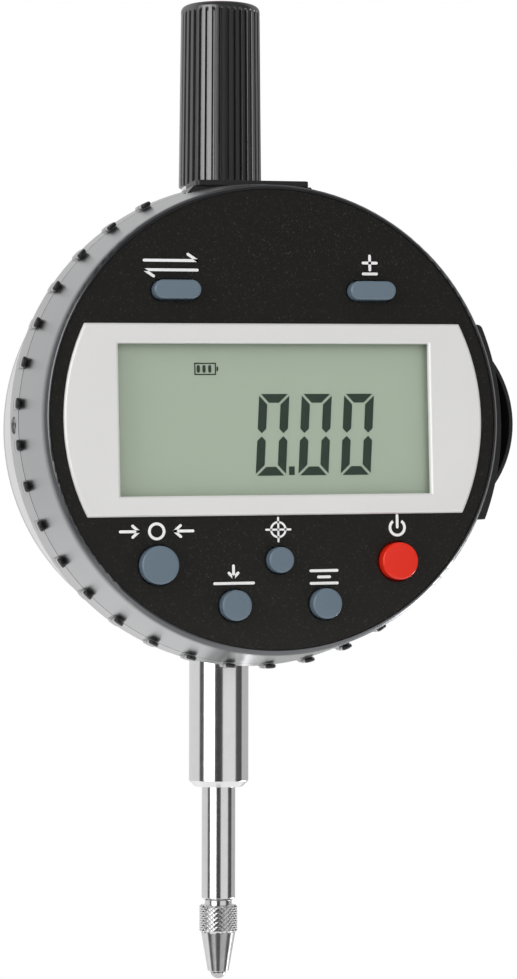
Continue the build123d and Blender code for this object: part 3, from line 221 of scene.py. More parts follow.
def turned(profile, steps=around):
    """A mesh turned round Z from (radius, height) points that make a closed outline."""
    work = bmesh.new()
    rings = []
    for radius, height in profile:
        if radius < 1e-7:
            rings.append([work.verts.new((0, 0, height))])
        else:
            angles = [2 * pi * step / steps for step in range(steps)]
            rings.append([work.verts.new((radius * cos(angle), radius * sin(angle), height))
                          for angle in angles])
    for low, high in zip(rings, rings[1:] + rings[:1]):
        for step in range(steps):
            corners = [low[step % len(low)], low[(step + 1) % len(low)],
                       high[(step + 1) % len(high)], high[step % len(high)]]
            corners = list(dict.fromkeys(corners))
            if len(corners) > 2:
                work.faces.new(corners)
    bmesh.ops.recalc_face_normals(work, faces=work.faces)
    mesh = bpy.data.meshes.new("turned")
    work.to_mesh(mesh)
    work.free()
    return mesh


stem_low, stem_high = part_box("stem")
shank_radius = (stem_high.x - stem_low.x) / 2
stem_radius = 4.0 * mm
stem_bore = 3.0 * mm
stem_chamfer = 0.8 * mm
stem_step = 9.2 * mm        # top of the clamping wall
chrome = ground_metal("ground_steel", 0.86, 0.80, 0.07, 0.0006 * mm)
show("stem_tube", turned([(stem_bore, stem_low.z), (stem_radius - stem_chamfer, stem_low.z),
                          (stem_radius, stem_low.z + stem_chamfer), (stem_radius, stem_step),
                          (shank_radius, stem_step), (shank_radius, stem_high.z),
                          (stem_bore, stem_high.z)]),
     chrome, "body", ("stem",), 0.08 * mm)

bronze, place = new_finish("bush_bronze")
turning = noise(place, 6000.0, 3.0, (0.05, 0.05, 1.0))
shade(place, {"Base Color": tint(turning, (0.50, 0.36, 0.17, 1), (0.62, 0.46, 0.24, 1)),
              "Metallic": 1.0, "Roughness": 0.28 + 0.1 * turning}, turning, 0.001 * mm)
for node in ("lower_bush", "upper_bush"):
    dressed(node, bronze, 0.08 * mm)

# Back housing, its cover and screws
# The housing is a turned and bead-blasted light alloy cup, the cover a plate with a turned face.
# Four slotted countersunk screws hold the cover.
housing_grey, place = new_finish("blasted_alloy")
grain = noise(place, 14000.0, 2.0)
clouds = noise(place, 160.0)
shade(place, {"Base Color": tint(clouds, grey(0.82), grey(0.88)), "Metallic": 0.8,
              "Roughness": 0.34 + 0.08 * grain}, grain, 0.004 * mm)
dressed("back_housing", housing_grey, 0.15 * mm)

cover_alloy, place = new_finish("turned_cover")
spread = place.node("ShaderNodeVectorMath", {"operation": "SUBTRACT"},
                    {0: place, 1: frame["joints"][1]["pos_m"]})
from_axis = spread.node("ShaderNodeVectorMath", {"operation": "LENGTH"}, {0: spread}, 1)
cuts = noise(from_axis.node("ShaderNodeCombineXYZ", {}, {0: from_axis}), 7000.0, 3.0)
shade(place, {"Base Color": tint(cuts, grey(0.58), grey(0.68)), "Metallic": 1.0,
              "Roughness": 0.26 + 0.1 * cuts}, cuts, 0.002 * mm)
dressed("rear_cover", cover_alloy, 0.08 * mm)

screw_steel, place = new_finish("screw_steel")
marks = noise(place, 9000.0)
shade(place, {"Base Color": tint(marks, grey(0.42), grey(0.58)), "Metallic": 1.0,
              "Roughness": 0.22 + 0.15 * marks}, marks, 0.001 * mm)
dressed("rear_cover_screws", screw_steel, 0.05 * mm)

# Neck and fluted cap
# A turned collar in the housing's top carries the cap, a black moulded tube with 36 flutes that
# run out just below its rounded end. It pushes on, and pulls off over the spindle's top.
dressed("cap_neck", chrome, 0.1 * mm)
cap_low, cap_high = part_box("fluted_cap")
cap_foot_radius = 5.585 * mm
cap_top_radius = 5.33 * mm
cap_bore = 3.5 * mm
cap_socket = 4.23 * mm
cap_socket_depth = 5.15 * mm
cap_roof = 1.5 * mm
cap_round = 0.75 * mm
cap_rim = 1.0 * mm
flute_count = 36
flute_steps = 20
flute_depth = 0.4 * mm
flute_crest = 0.52          # share of a pitch
flute_wall = 0.13
flute_inner = 4.6 * mm      # only points outside this radius are pressed
flute_run_out = 0.45 * mm
wall_rows = 12
rim_rows = 8


def cap_radius(height):
    """Outer radius of the cap's cone at this height."""
    share = (height - cap_low.z) / (cap_high.z - cap_low.z)
    return cap_foot_radius + (cap_top_radius - cap_foot_radius) * share


wall_top = cap_high.z - cap_round
outline = [(cap_socket, cap_low.z)]
heights = [cap_low.z + (wall_top - cap_rim - cap_low.z) * row / wall_rows
           for row in range(wall_rows + 1)]
outline += [(cap_radius(height), height) for height in heights]
outline += [(cap_radius(wall_top), wall_top - cap_rim * (1 - row / rim_rows))
            for row in range(1, rim_rows + 1)]
outline += [(cap_radius(wall_top) - cap_round * (1 - cos(radians(turn))),
             wall_top + cap_round * sin(radians(turn))) for turn in range(15, 91, 15)]
outline += [(0.0, cap_high.z), (0.0, cap_high.z - cap_roof), (cap_bore, cap_high.z - cap_roof),
            (cap_bore, cap_low.z + cap_socket_depth), (cap_socket, cap_low.z + cap_socket_depth)]


def grown(name, blank, sizes, plan, finish, body, stands_for=(), bevel=0.0, angle=30.0):
    """Runs a Geometry Nodes plan with named sizes on a blank, and shows what it makes as a mesh."""
    tree = bpy.data.node_groups.new(name, "GeometryNodeTree")
    tree.interface.new_socket("Blank", in_out="INPUT", socket_type="NodeSocketGeometry")
    tree.interface.new_socket("Made", in_out="OUTPUT", socket_type="NodeSocketGeometry")
    keys = {}
    for label, size in sizes.items():
        kind = "NodeSocketInt" if isinstance(size, int) else "NodeSocketFloat"
        keys[label] = tree.interface.new_socket(label, in_out="INPUT", socket_type=kind).identifier
    start = Wire(tree).node("NodeGroupInput", output="Blank")
    given = {label: start.other(label) for label in sizes}
    made = plan(start, given)
    solid = made.node("GeometryNodeRealizeInstances", {}, {"Geometry": made})
    coated = solid.node("GeometryNodeSetMaterial", {}, {"Geometry": solid, "Material": finish})
    coated.node("NodeGroupOutput", {}, {"Made": coated}, None)
    holder = bpy.data.objects.new(name, blank)
    bpy.context.scene.collection.objects.link(holder)
    grower = holder.modifiers.new(name, "NODES")
    grower.node_group = tree
    for label, size in sizes.items():
        grower[keys[label]] = size
    depsgraph = bpy.context.evaluated_depsgraph_get()
    mesh = bpy.data.meshes.new_from_object(holder.evaluated_get(depsgraph))
    holder.modifiers.clear()
    bpy.data.objects.remove(holder)
    return show(name, mesh, finish, body, stands_for, bevel, angle)


def polar(start):
    """Radius from Z, angle in turns, and x, y and z of each point of a geometry tree."""
    spot = start.node("GeometryNodeInputPosition")
    x = spot.node("ShaderNodeSeparateXYZ", {}, {0: spot})
    y, z = x.other(1), x.other(2)
    radius = (x * x + y * y).maths("SQRT", x * x + y * y)
    return radius, x.maths("ARCTAN2", y, x) / (2 * pi), x, y, z


def abs_from_middle(turns):
    """Distance from the nearest whole number, 0 to 0.5."""
    part = turns.maths("FRACT", turns + 0.5)
    return part.maths("ABSOLUTE", part - 0.5)


def press_flutes(start, given):
    """Presses the valleys between the crests into the blank's outer wall."""
    radius, turns, x, y, z = polar(start)
    flute = (turns + 1.0) * given["Flutes"]
    share = abs_from_middle(flute)
    valley = rise(share, given["Crest"] / 2, given["Crest"] / 2 + given["Wall"])
    outer = rise(radius, given["Inner"], given["Inner"] + 0.1 * mm)
    below_rim = 1 - rise(z, given["Top"] - given["Run out"], given["Top"])
    press = 1 - given["Depth"] * valley * outer * below_rim / radius
    pressed = press.node("ShaderNodeCombineXYZ", {}, {0: x * press, 1: y * press, 2: z})
    return start.node("GeometryNodeSetPosition", {}, {"Geometry": start, "Position": pressed})


cap_black, place = new_finish("cap_black")
grain = noise(place, 12000.0, 2.0)
streaks = noise(place, 1500.0, 3.0, (1, 1, 0.05))
shade(place, {"Base Color": tint(streaks, grey(0.007), grey(0.012)), "Metallic": 0.0,
              "Roughness": 0.27 + 0.08 * streaks, "IOR": 2.4}, grain, 0.0015 * mm)
grown("fluted_cap_moulding", turned(outline, flute_count * flute_steps),
      {"Flutes": flute_count, "Crest": flute_crest, "Wall": flute_wall, "Depth": flute_depth,
       "Inner": flute_inner, "Top": wall_top - 0.1 * mm, "Run out": flute_run_out},
      press_flutes, cap_black, "cap", ("fluted_cap",), 0.0, 40.0)

# Spindle and contact point
# The spindle is a fine ground rod. The contact point screws into its end: a turned steel piece
# with a diamond-knurled collar for the fingers, a cone and a hard ball.
spindle_low, spindle_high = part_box("spindle")
spindle_radius = 2.25 * mm
spindle_bore = 1.12 * mm
spindle_thread = 4.15 * mm
spindle_edge = 0.3 * mm
rod_steel = ground_metal("fine_ground_steel", 0.84, 0.74, 0.10, 0.0008 * mm)
show("spindle_rod", turned([(spindle_bore, spindle_low.z),
                            (spindle_radius - spindle_edge, spindle_low.z),
                            (spindle_radius, spindle_low.z + spindle_edge),
                            (spindle_radius, spindle_high.z - spindle_edge),
                            (spindle_radius - spindle_edge, spindle_high.z), (0, spindle_high.z),
                            (0, spindle_low.z + spindle_thread),
                            (spindle_bore, spindle_low.z + spindle_thread)]),
     rod_steel, "spindle", ("spindle",), 0.06 * mm)

point_low, point_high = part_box("contact_point")
ball_low, ball_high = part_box("contact_ball")
thread_radius = 1.1 * mm
neck_radius = 1.8 * mm
knurl_radius = 2.575 * mm
knurl_length = 3.6 * mm
knurl_groove = 0.27 * mm
knurl_edge = 0.25 * mm
cone_radius = 2.3 * mm
cone_tip_radius = 1.4 * mm
knurl_top = spindle_low.z - 0.7 * mm
cone_top = knurl_top - knurl_length
knurl_root = knurl_radius - knurl_groove
point_steel = ground_metal("turned_steel", 0.80, 0.70, 0.12, 0.0012 * mm)
show("contact_point_turning",
     turned([(0, point_high.z), (thread_radius, point_high.z), (thread_radius, spindle_low.z),
             (neck_radius, spindle_low.z), (neck_radius, knurl_top),
             (knurl_root - knurl_edge, knurl_top),
             (knurl_root, knurl_top - knurl_edge), (knurl_root, cone_top + knurl_edge),
             (knurl_root - knurl_edge / 2, cone_top), (cone_radius, cone_top),
             (cone_tip_radius, point_low.z), (0, point_low.z)]),
     point_steel, "spindle", ("contact_point",), 0.06 * mm)

knurls_around = 22
knurl_rows = 11
knurl_pitch = (knurl_length - 2 * knurl_edge) / (knurl_rows - 1)


def knurl_field(start, given):
    """Staggered rows of small four-sided points on the collar."""
    index = start.node("GeometryNodeInputIndex")
    row = index.maths("FLOOR", index / given["Around"])
    turn = (index + row * 0.5) / given["Around"] * (2 * pi)
    place = turn.node("ShaderNodeCombineXYZ", {}, {0: given["Radius"] * turn.maths("COSINE", turn),
                                                   1: given["Radius"] * turn.maths("SINE", turn),
                                                   2: given["Low"] + row * given["Pitch"]})
    spots = place.node("GeometryNodePoints", {},
                       {"Count": given["Around"] * given["Rows"], "Position": place})
    stud = spots.node("GeometryNodeMeshCone", {"fill_type": "NGON"},
                      {"Vertices": 4, "Radius Top": given["Stud"] * 0.12,
                       "Radius Bottom": given["Stud"], "Depth": given["Height"]}, "Mesh")
    facing = turn.node("ShaderNodeCombineXYZ", {}, {1: pi / 2, 2: turn})
    stretch = turn.node("ShaderNodeCombineXYZ", {},
                        {0: given["Pitch"] / given["Stud"] * 1.02, 1: 1.04, 2: 1.0})
    return stud.node("GeometryNodeInstanceOnPoints", {}, {"Points": spots, "Instance": stud,
                                                          "Rotation": facing, "Scale": stretch})


grown("knurl", bpy.data.meshes.new("blank"),
      {"Around": knurls_around, "Rows": knurl_rows, "Radius": knurl_root,
       "Low": cone_top + knurl_edge, "Pitch": knurl_pitch,
       "Stud": pi * knurl_radius / knurls_around, "Height": knurl_groove},
      knurl_field, point_steel, "spindle", (), 0.0, 20.0)

carbide, place = new_finish("polished_carbide")
shade(place, {"Base Color": tint(noise(place, 3000.0), grey(0.45), grey(0.62)),
              "Metallic": 1.0, "Roughness": 0.1})
ball_radius = (ball_high.x - ball_low.x) / 2
ball_mesh = bpy.data.meshes.new("ball")
ball = bmesh.new()
bmesh.ops.create_uvsphere(ball, u_segments=48, v_segments=24, radius=ball_radius,
                          matrix=Matrix.Translation((ball_low + ball_high) / 2))
ball.to_mesh(ball_mesh)
ball.free()
show("contact_ball_polished", ball_mesh, carbide, "spindle", ("contact_ball",))

# Inside the housing
# The carrier clamps on the spindle and holds the glass scale in front of the reader board. A rail
# and pin keep it from turning, and an extension spring pulls it down on a rubber ring.


def plain(name, dark, light, rough, metallic=0.0, scale=4000.0, depth=0.002 * mm):
    """A simple finish whose colour goes between two tones in a fine grain."""
    finish, place = new_finish(name)
    grain = noise(place, scale)
    shade(place, {"Base Color": tint(grain, dark, light), "Metallic": metallic,
                  "Roughness": rough + 0.12 * grain}, grain, depth)
    return finish


def coat(finish, *nodes):
    """Gives CAD nodes whose shape stays as it is their finish."""
    for node in nodes:
        data = frame["nodes"][node].data
        data.materials.clear()
        data.materials.append(finish)


machined = plain("machined_alloy", grey(0.50), grey(0.64), 0.26, 1.0)
board_green = plain("circuit_board", (0.012, 0.10, 0.04, 1), (0.02, 0.16, 0.06, 1), 0.35, 0.0,
                    1500.0)
cream = plain("cream_moulding", (0.66, 0.62, 0.50, 1), (0.74, 0.70, 0.58, 1), 0.4)
black_rubber = plain("black_rubber", grey(0.018), grey(0.035), 0.6)
grey_rubber = plain("grey_rubber", grey(0.24), grey(0.30), 0.6)
gold = plain("gold_plate", (0.72, 0.48, 0.16, 1), (0.86, 0.62, 0.26, 1), 0.2, 1.0)
glass_strip = plain("scale_glass", (0.55, 0.66, 0.66, 1), (0.70, 0.80, 0.80, 1), 0.08)
coat(machined, "guide_rail", "scale_carrier", "swivel_hub", "retaining_ring")
coat(screw_steel, "rail_screws", "small_screws", "spring_post", "carrier_screw", "spring_pin",
     "shell_screws", "stop_pin", "board_screws")
coat(rod_steel, "guide_pin", "return_spring")
coat(black_rubber, "stop_buffer", "swivel_seal")
coat(board_green, "reader_board", "main_board")
coat(cream, "reader_posts", "reader_socket", "lead_socket", "lcd_holder")
coat(grey_rubber, "contact_strips", "button_mats", "signal_lead")
coat(gold, "battery_contacts", "port_contacts")
coat(glass_strip, "scale_strip")
dressed("top_nut", screw_steel, 0.08 * mm)

# Rear shell of the display head
# A moulded shell with a satin metal coat. Its band carries rounded grip ribs whose front ends, dark
# with a painted reflection, reach over the seam, and a recessed grub screw at nine o'clock.
swivel = Vector(frame["joints"][1]["pos_m"])
joint_axes = {joint["name"]: Vector(joint["axis"]) for joint in frame["joints"]}
head_right = joint_axes["drawer_slide"].normalized()
head_up = joint_axes["port_lid_lift"].normalized()
ahead = Vector((0, -1, 0))


def on_head(right, up, depth):
    """A point in millimetres on the turned head, as far ahead of the stem's axis as depth says."""
    return swivel + (head_right * right + head_up * up + ahead * depth) * mm


def head_place(corner):
    """Millimetres to the right, up and ahead on the head, and the radius from its axis."""
    out = (corner - swivel) / mm
    right, up, depth = out.dot(head_right), out.dot(head_up), out.dot(ahead)
    return right, up, depth, sqrt(right * right + up * up)


seam_depth = 17.0
painted_seam_shade = grey(0.012)
boss_half = 9.15            # half width of the port's boss


def satin_coat(name, dark, light, rough, metallic, ends=(60.0, 61.0), reflection_colour=painted_seam_shade,
               end_metal=0.0, boss=999.0):
    """A satin metallic coat with fine grain; painted shade in the seam, a painted dark reflection
    shading to another colour over the depths named as ends, and dark on the port's boss, which
    stands above the height given."""
    finish, place = new_finish(name)
    grain = noise(place, 16000.0, 2.0)
    clouds = noise(place, 120.0)
    across = place.node("ShaderNodeSeparateXYZ", {}, {0: place})
    depth, height = -1.0 * across.other(1), across.other(2)
    from_seam = depth - seam_depth * mm
    # painted shade: near black and not metallic in a narrow band at the seam, for the shadow in the
    # gap between bezel and shell
    seam_shade_mask = 1 - rise(from_seam.maths("ABSOLUTE", from_seam), 0.06 * mm, 0.16 * mm)
    # painted dark reflection: past the depths named as ends the coat turns to the given dark colour
    # and metal
    painted_dark_reflection = rise(depth, ends[0] * mm, ends[1] * mm)
    beside = rise(across.maths("ABSOLUTE", across), boss_half * mm, (boss_half + 0.15) * mm)
    on_boss = (1 - beside) * rise(height, boss * mm, (boss + 0.1) * mm)
    colour = tint(painted_dark_reflection, tint(on_boss, tint(clouds, dark, light), grey(0.10)), reflection_colour)
    shade(place, {"Base Color": tint(seam_shade_mask, colour, painted_seam_shade),
                  "Metallic": (metallic - (metallic - end_metal) * painted_dark_reflection) * (1 - seam_shade_mask),
                  "Roughness": rough + 0.05 * grain + 0.04 * clouds}, grain, 0.0025 * mm)
    return finish


# painted dark reflection: the rib front ends, from 17.9 mm ahead, turn near black and not metallic
shell_satin = satin_coat("shell_satin", grey(0.52), grey(0.57), 0.26, 0.95, (17.9, 18.0),
                         grey(0.020), 0.0, 66.9)
rib_inner = 31.25
rib_outer = 31.9
rib_back = 14.35
rib_front = 18.5
core_radius = 31.57         # the square rib cores are sunk to this, just above the band
core_front = 17.15
core_root = 30.95           # what lies inside this radius stays as it is
pad_half = 13.3             # half height of the battery bezel
port_half = 9.2             # half width of the port's boss with its edge


def sunk(corner):
    """Sinks the square core of a rib so that the rounded rib over it is all that shows."""
    right, up, depth, radius = head_place(corner)
    at_port = abs(right) < port_half and up > 0
    at_pad = abs(up) < pad_half and right > 0
    if radius < core_root or at_port or at_pad:
        return corner
    share = min(radius, core_radius) / radius
    return on_head(right * share, up * share, min(depth, core_front))


dressed("rear_shell", shell_satin, 0.12 * mm, 30.0, sunk)
dressed("set_screw", screw_steel, 0.04 * mm)

rib_count = 37
rib_width = 1.6
rib_middle = 180.0
port_gap = 17.5             # half angle that the port takes at the top
pad_gap = 25.0              # half angle that the battery bezel takes at the right
rib_crease = 0.3


def rib_row(start, given):
    """Rounded blocks round the head's axis, left out at the port and the battery bezel."""
    index = start.node("GeometryNodeInputIndex")
    angle = given["Middle"] + (index + 0.5) * 360.0 / given["Count"]
    turn = angle * (pi / 180)
    place = turn.node("ShaderNodeCombineXYZ", {},
                      {0: given["Radius"] * turn.maths("COSINE", turn),
                       1: given["Radius"] * turn.maths("SINE", turn), 2: 0.0})
    spots = place.node("GeometryNodePoints", {}, {"Count": given["Count"], "Position": place})
    from_top = 360.0 * abs_from_middle((angle - 90.0) / 360.0)
    from_right = 360.0 * abs_from_middle(angle / 360.0)
    at_top = 1 - rise(from_top, given["Port gap"], given["Port gap"] + 0.1)
    at_right = 1 - rise(from_right, given["Pad gap"], given["Pad gap"] + 0.1)
    left = spots.node("GeometryNodeDeleteGeometry", {},
                      {"Geometry": spots, "Selection": at_top.maths("MAXIMUM", at_top, at_right)})
    size = turn.node("ShaderNodeCombineXYZ", {},
                     {0: given["Thick"], 1: given["Wide"], 2: given["Long"]})
    block = left.node("GeometryNodeMeshCube", {}, {"Size": size}, "Mesh")
    fine = block.node("GeometryNodeSubdivisionSurface", {},
                      {"Mesh": block, "Level": 3, "Edge Crease": rib_crease})
    facing = turn.node("ShaderNodeCombineXYZ", {}, {2: polar(start)[1] * (2 * pi)})
    return fine.node("GeometryNodeInstanceOnPoints", {},
                     {"Points": left, "Instance": fine, "Rotation": facing})


def lay_on_head(piece, depth):
    """Turns a piece that was made flat on XY so that it lies on the head at this depth."""
    basis = Matrix((head_right, head_up, ahead)).transposed().to_4x4()
    piece.data.transform(Matrix.Translation(on_head(0, 0, depth)) @ basis)
    return piece


ribs = grown("grip_ribs", bpy.data.meshes.new("blank"),
             {"Count": rib_count, "Radius": (rib_inner + rib_outer) / 2 * mm,
              "Thick": (rib_outer - rib_inner) * mm, "Wide": rib_width * mm,
              "Long": (rib_front - rib_back) * mm, "Middle": rib_middle,
              "Port gap": port_gap, "Pad gap": pad_gap},
             rib_row, shell_satin, "head", (), 0.0, 60.0)
lay_on_head(ribs, (rib_front + rib_back) / 2)

# Port cover
# A small black moulded lid on the port boss at the top of the head; it lifts straight off.
black_moulding = plain("black_moulding", grey(0.014), grey(0.026), 0.32, 0.0, 9000.0, 0.003 * mm)
dressed("port_cover", black_moulding, 0.12 * mm)

# Front bezel
# A ring with a sloping side and a rounded lip, moulded and satin metal coated like the shell. Its
# lip carries a painted dark reflection, and is broken by a small chamfer.
# painted dark reflection: the lip, from 25.2 to 26.9 mm ahead, darkens to a blue-grey
bezel_satin = satin_coat("bezel_satin", (0.45, 0.455, 0.465, 1), (0.50, 0.505, 0.51, 1), 0.26, 1.0,
                         (25.2, 26.9), (0.155, 0.158, 0.165, 1), 1.0)
lip_depth = 27.35
lip_round = 0.6
lip_radius = 29.35          # inside of the lip
edge_round = 0.45           # round left between the lip's chamfer and its top
chamfer_start = (29.97, 26.78)  # radius and depth of the chamfer's outer edge
chamfer_end = (29.67, 27.22)


def chamfered(corner):
    """Moves a corner of the lip's round to a chamfer with a smaller round."""
    right, up, depth, radius = head_place(corner)
    turn = atan2(depth - lip_depth + lip_round, radius - lip_radius)
    if radius < lip_radius + 0.001 or depth < lip_depth - lip_round + 0.001:
        return corner
    if turn < pi / 4:
        share = turn / (pi / 4)
        new_radius, new_depth = (start + share * (end - start)
                                 for start, end in zip(chamfer_start, chamfer_end))
    else:
        new_depth = lip_depth - edge_round + edge_round * sin(turn)
        new_radius = lip_radius + edge_round * cos(turn)
    return on_head(right * new_radius / radius, up * new_radius / radius, new_depth)


dressed("front_bezel", bezel_satin, 0.06 * mm, 25.0, chamfered)

# Display panel, strokes and pane
# A grey-green liquid crystal panel under a clear pane. Its lit strokes are three noughts and a
# point, with a small battery mark where the unit stood.
panel, place = new_finish("crystal_panel")
mottle = noise(place, 6000.0, 4.0)
broad = noise(place, 60.0)
shade(place, {"Base Color": tint(0.6 * mottle + 0.4 * broad, (0.42, 0.46, 0.39, 1),
                                 (0.49, 0.53, 0.455, 1)), "Roughness": 0.3}, mottle, 0.001 * mm)
dressed("lcd_panel", panel)
strokes, place = new_finish("crystal_strokes")
shade(place, {"Base Color": tint(noise(place, 5000.0), (0.020, 0.038, 0.028, 1),
                                 (0.034, 0.055, 0.042, 1)), "Roughness": 0.4})
dressed("lcd_segments", strokes)

pane, place = new_finish("clear_pane")
gloss = place.node("ShaderNodeBsdfGlossy", {}, {"Color": grey(1.0), "Roughness": 0.04})
clear = place.node("ShaderNodeBsdfTransparent", {}, {"Color": (0.97, 0.99, 0.97, 1)})
edge_on = place.node("ShaderNodeFresnel", {}, {"IOR": 1.45})
inner = place.node("ShaderNodeNewGeometry", output="Backfacing")
film = place.node("ShaderNodeMixShader", {}, {0: edge_on * (1 - inner), 1: clear, 2: gloss})
place.node("ShaderNodeOutputMaterial", {}, {"Surface": film}, None)
dressed("display_window", pane)

# Face plate
# A black moulded disc with a fine speckle, holes for the keys and white printed pictograms.
face_black, place = new_finish("face_black")
speckle = noise(place, 5200.0, 2.0)
sparks = rise(speckle, 0.60, 0.78)
shade(place, {"Base Color": tint(sparks, (0.0100, 0.0094, 0.0078, 1), (0.050, 0.047, 0.040, 1)),
              "Roughness": 0.38 + 0.1 * speckle, "Specular IOR Level": 0.35}, speckle, 0.004 * mm)
dressed("face_plate", face_black, 0.06 * mm)

print_white = plain("print_white", grey(0.80), grey(0.88), 0.5, 0.0, 3000.0, 0.0005 * mm)
face_depth = 27.2
ink = 0.02                  # thickness of the print
line = 0.36                 # stroke width of the pictograms


def bar(x1, y1, x2, y2, wide=line, steps=5):
    """Outline of a stroke with round ends."""
    lean = atan2(y2 - y1, x2 - x1)
    points = []
    for x, y, start in ((x2, y2, lean - pi / 2), (x1, y1, lean + pi / 2)):
        angles = [start + pi * step / steps for step in range(steps + 1)]
        points += [(x + wide / 2 * cos(angle), y + wide / 2 * sin(angle)) for angle in angles]
    return points


def arc(x, y, radius, first, last, wide=line, steps=28):
    """Outline of a bent stroke, angles in degrees."""
    angles = [radians(first + (last - first) * step / steps) for step in range(steps + 1)]
    outer, inner = radius + wide / 2, radius - wide / 2
    points = [(x + outer * cos(angle), y + outer * sin(angle)) for angle in angles]
    return points + [(x + inner * cos(angle), y + inner * sin(angle)) for angle in reversed(angles)]


def printed(name, shapes, finish, depth, body="head", thick=ink):
    """Prints flat outlines on the head at this depth, one thin solid each."""
    work = bmesh.new()
    for points in shapes:
        face = work.faces.new([work.verts.new(on_head(x, y, depth)) for x, y in points])
        if face.normal.dot(ahead) < 0:
            face.normal_flip()
        grown_up = bmesh.ops.extrude_face_region(work, geom=[face])
        tops = [part for part in grown_up["geom"] if isinstance(part, bmesh.types.BMVert)]
        bmesh.ops.translate(work, verts=tops, vec=ahead * thick * mm)
    bmesh.ops.recalc_face_normals(work, faces=work.faces)
    mesh = bpy.data.meshes.new(name)
    work.to_mesh(mesh)
    work.free()
    return show(name, mesh, finish, body)


fine_line = 0.26
marks = [bar(-16.9, 20.1, -10.0, 20.1), bar(-10.0, 20.1, -11.2, 20.9),      # units: two half arrows
         bar(-16.9, 18.9, -10.0, 18.9), bar(-16.9, 18.9, -15.7, 18.1),
         bar(12.9, 20.9, 12.9, 19.1), bar(12.0, 20.0, 13.8, 20.0),          # plus and minus
         bar(12.0, 18.6, 13.8, 18.6),
         arc(-15.9, -14.0, 0.95, 0, 360),                                   # arrows at a nought
         bar(-20.6, -14.0, -18.2, -14.0), bar(-19.0, -13.3, -18.2, -14.0),
         bar(-19.0, -14.7, -18.2, -14.0), bar(-13.6, -14.0, -11.2, -14.0),
         bar(-12.8, -13.3, -13.6, -14.0), bar(-12.8, -14.7, -13.6, -14.0),
         arc(0.0, -14.0, 0.95, 0, 360, fine_line),                          # crosshair
         bar(-1.6, -14.0, 1.6, -14.0, fine_line), bar(0.0, -12.5, 0.0, -15.5, fine_line),
         bar(-8.5, -20.7, -3.4, -20.7), bar(-6.0, -18.5, -6.0, -20.0),      # arrow onto a line
         bar(-6.6, -19.4, -6.0, -20.0), bar(-5.4, -19.4, -6.0, -20.0),
         bar(4.2, -19.3, 7.7, -19.3), bar(4.2, -20.9, 7.7, -20.9),          # two limits
         bar(5.2, -20.1, 6.7, -20.1),
         arc(15.9, -13.95, 0.98, 125, 415), bar(15.9, -12.4, 15.9, -13.9)]  # power sign
printed("face_pictograms", marks, print_white, face_depth)

# Battery mark of the display
# A lit battery sign of the crystal panel, where the unit stood: three bars in a frame with a knob.
panel_front = 25.87
thin = 0.16                 # outline of the battery
battery = [bar(-10.2, 5.8, -7.5, 5.8, thin), bar(-10.2, 7.2, -7.5, 7.2, thin),
           bar(-10.2, 5.8, -10.2, 7.2, thin), bar(-7.5, 5.8, -7.5, 7.2, thin),
           bar(-7.25, 6.3, -7.25, 6.7, 0.2)]
battery += [bar(x, 6.2, x, 6.8, 0.42, 3) for x in (-9.75, -9.0, -8.25)]
printed("battery_mark", battery, strokes, panel_front)

# Display frame
# A satin silver plate with arc ends and a bevelled window, standing just proud of the face.
silver = satin_coat("frame_silver", (0.77, 0.765, 0.755, 1), (0.80, 0.795, 0.785, 1), 0.28, 0.18)
dressed("display_frame", silver, 0.12 * mm)

# Keys
# Slate and red moulded keys with a softly broken edge, each in its own hole of the face plate.
key_grain = 7000.0
key_relief = 0.0008 * mm
slate = plain("key_slate", (0.115, 0.16, 0.20, 1), (0.14, 0.185, 0.23, 1), 0.12, 0.0, key_grain,
              key_relief)
red = plain("key_red", (0.70, 0.018, 0.006, 1), (0.78, 0.026, 0.009, 1), 0.12, 0.0, key_grain,
            key_relief)
for key in ("units", "sign", "zero", "origin", "preset", "limits", "power"):
    dressed("button_" + key, red if key == "power" else slate, 0.2 * mm)

# Battery bezel, drawer and cell
# A black moulded pad round the drawer's mouth; the drawer has a finger recess in its round end
# and holds a coin cell of pressed steel.
dressed("battery_bezel", black_moulding, 0.12 * mm)
dressed("battery_drawer", black_moulding, 0.12 * mm)
cell_steel = plain("pressed_steel", grey(0.60), grey(0.72), 0.2, 1.0)
dressed("coin_cell", cell_steel, 0.05 * mm)

# Studio
# The indicator is held by its stem above a pale floor. A white surround with dark cards gives the
# metal its bands, and soft lamps fill the face.
floor_drop = 200 * mm
floor_size = 0.30
camera_place = Vector((-0.11326, -0.41231, 0.01529))
camera_yaw = 16.071
camera_pitch = 1.968
camera_roll = 0.104
focal_length = 116.46
camera_side = -15.6         # azimuth of the camera from the front, which the cards are set from

low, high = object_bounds()
floor_mesh = bpy.data.meshes.new("floor")
floor_work = bmesh.new()
bmesh.ops.create_grid(floor_work, x_segments=1, y_segments=1, size=floor_size,
                      matrix=Matrix.Translation((0, 0, low.z - floor_drop)))
floor_work.to_mesh(floor_mesh)
floor_work.free()
floor = bpy.data.objects.new("floor", floor_mesh)
bpy.context.scene.collection.objects.link(floor)
pale, place = new_finish("pale_floor")
path = place.node("ShaderNodeLightPath", output="Is Camera Ray")
mirrored_ray = path.maths("MAXIMUM", path.other("Is Glossy Ray"), path.other("Is Transmission Ray"))
seen = path.maths("MAXIMUM", path, mirrored_ray)
matt = place.node("ShaderNodeBsdfDiffuse", {}, {"Color": grey(0.85)})
glow = place.node("ShaderNodeEmission", {}, {"Color": grey(1.0), "Strength": 1.0})
from_stem = place.node("ShaderNodeVectorMath", {"operation": "LENGTH"}, {0: place}, 1)
far = rise(from_stem, 0.22, 0.34)   # the floor fades to white towards its edge
blend = place.node("ShaderNodeMixShader", {}, {0: seen * (0.8 + 0.2 * far), 1: matt, 2: glow})
place.node("ShaderNodeOutputMaterial", {}, {"Surface": blend}, None)
floor_mesh.materials.append(pale)

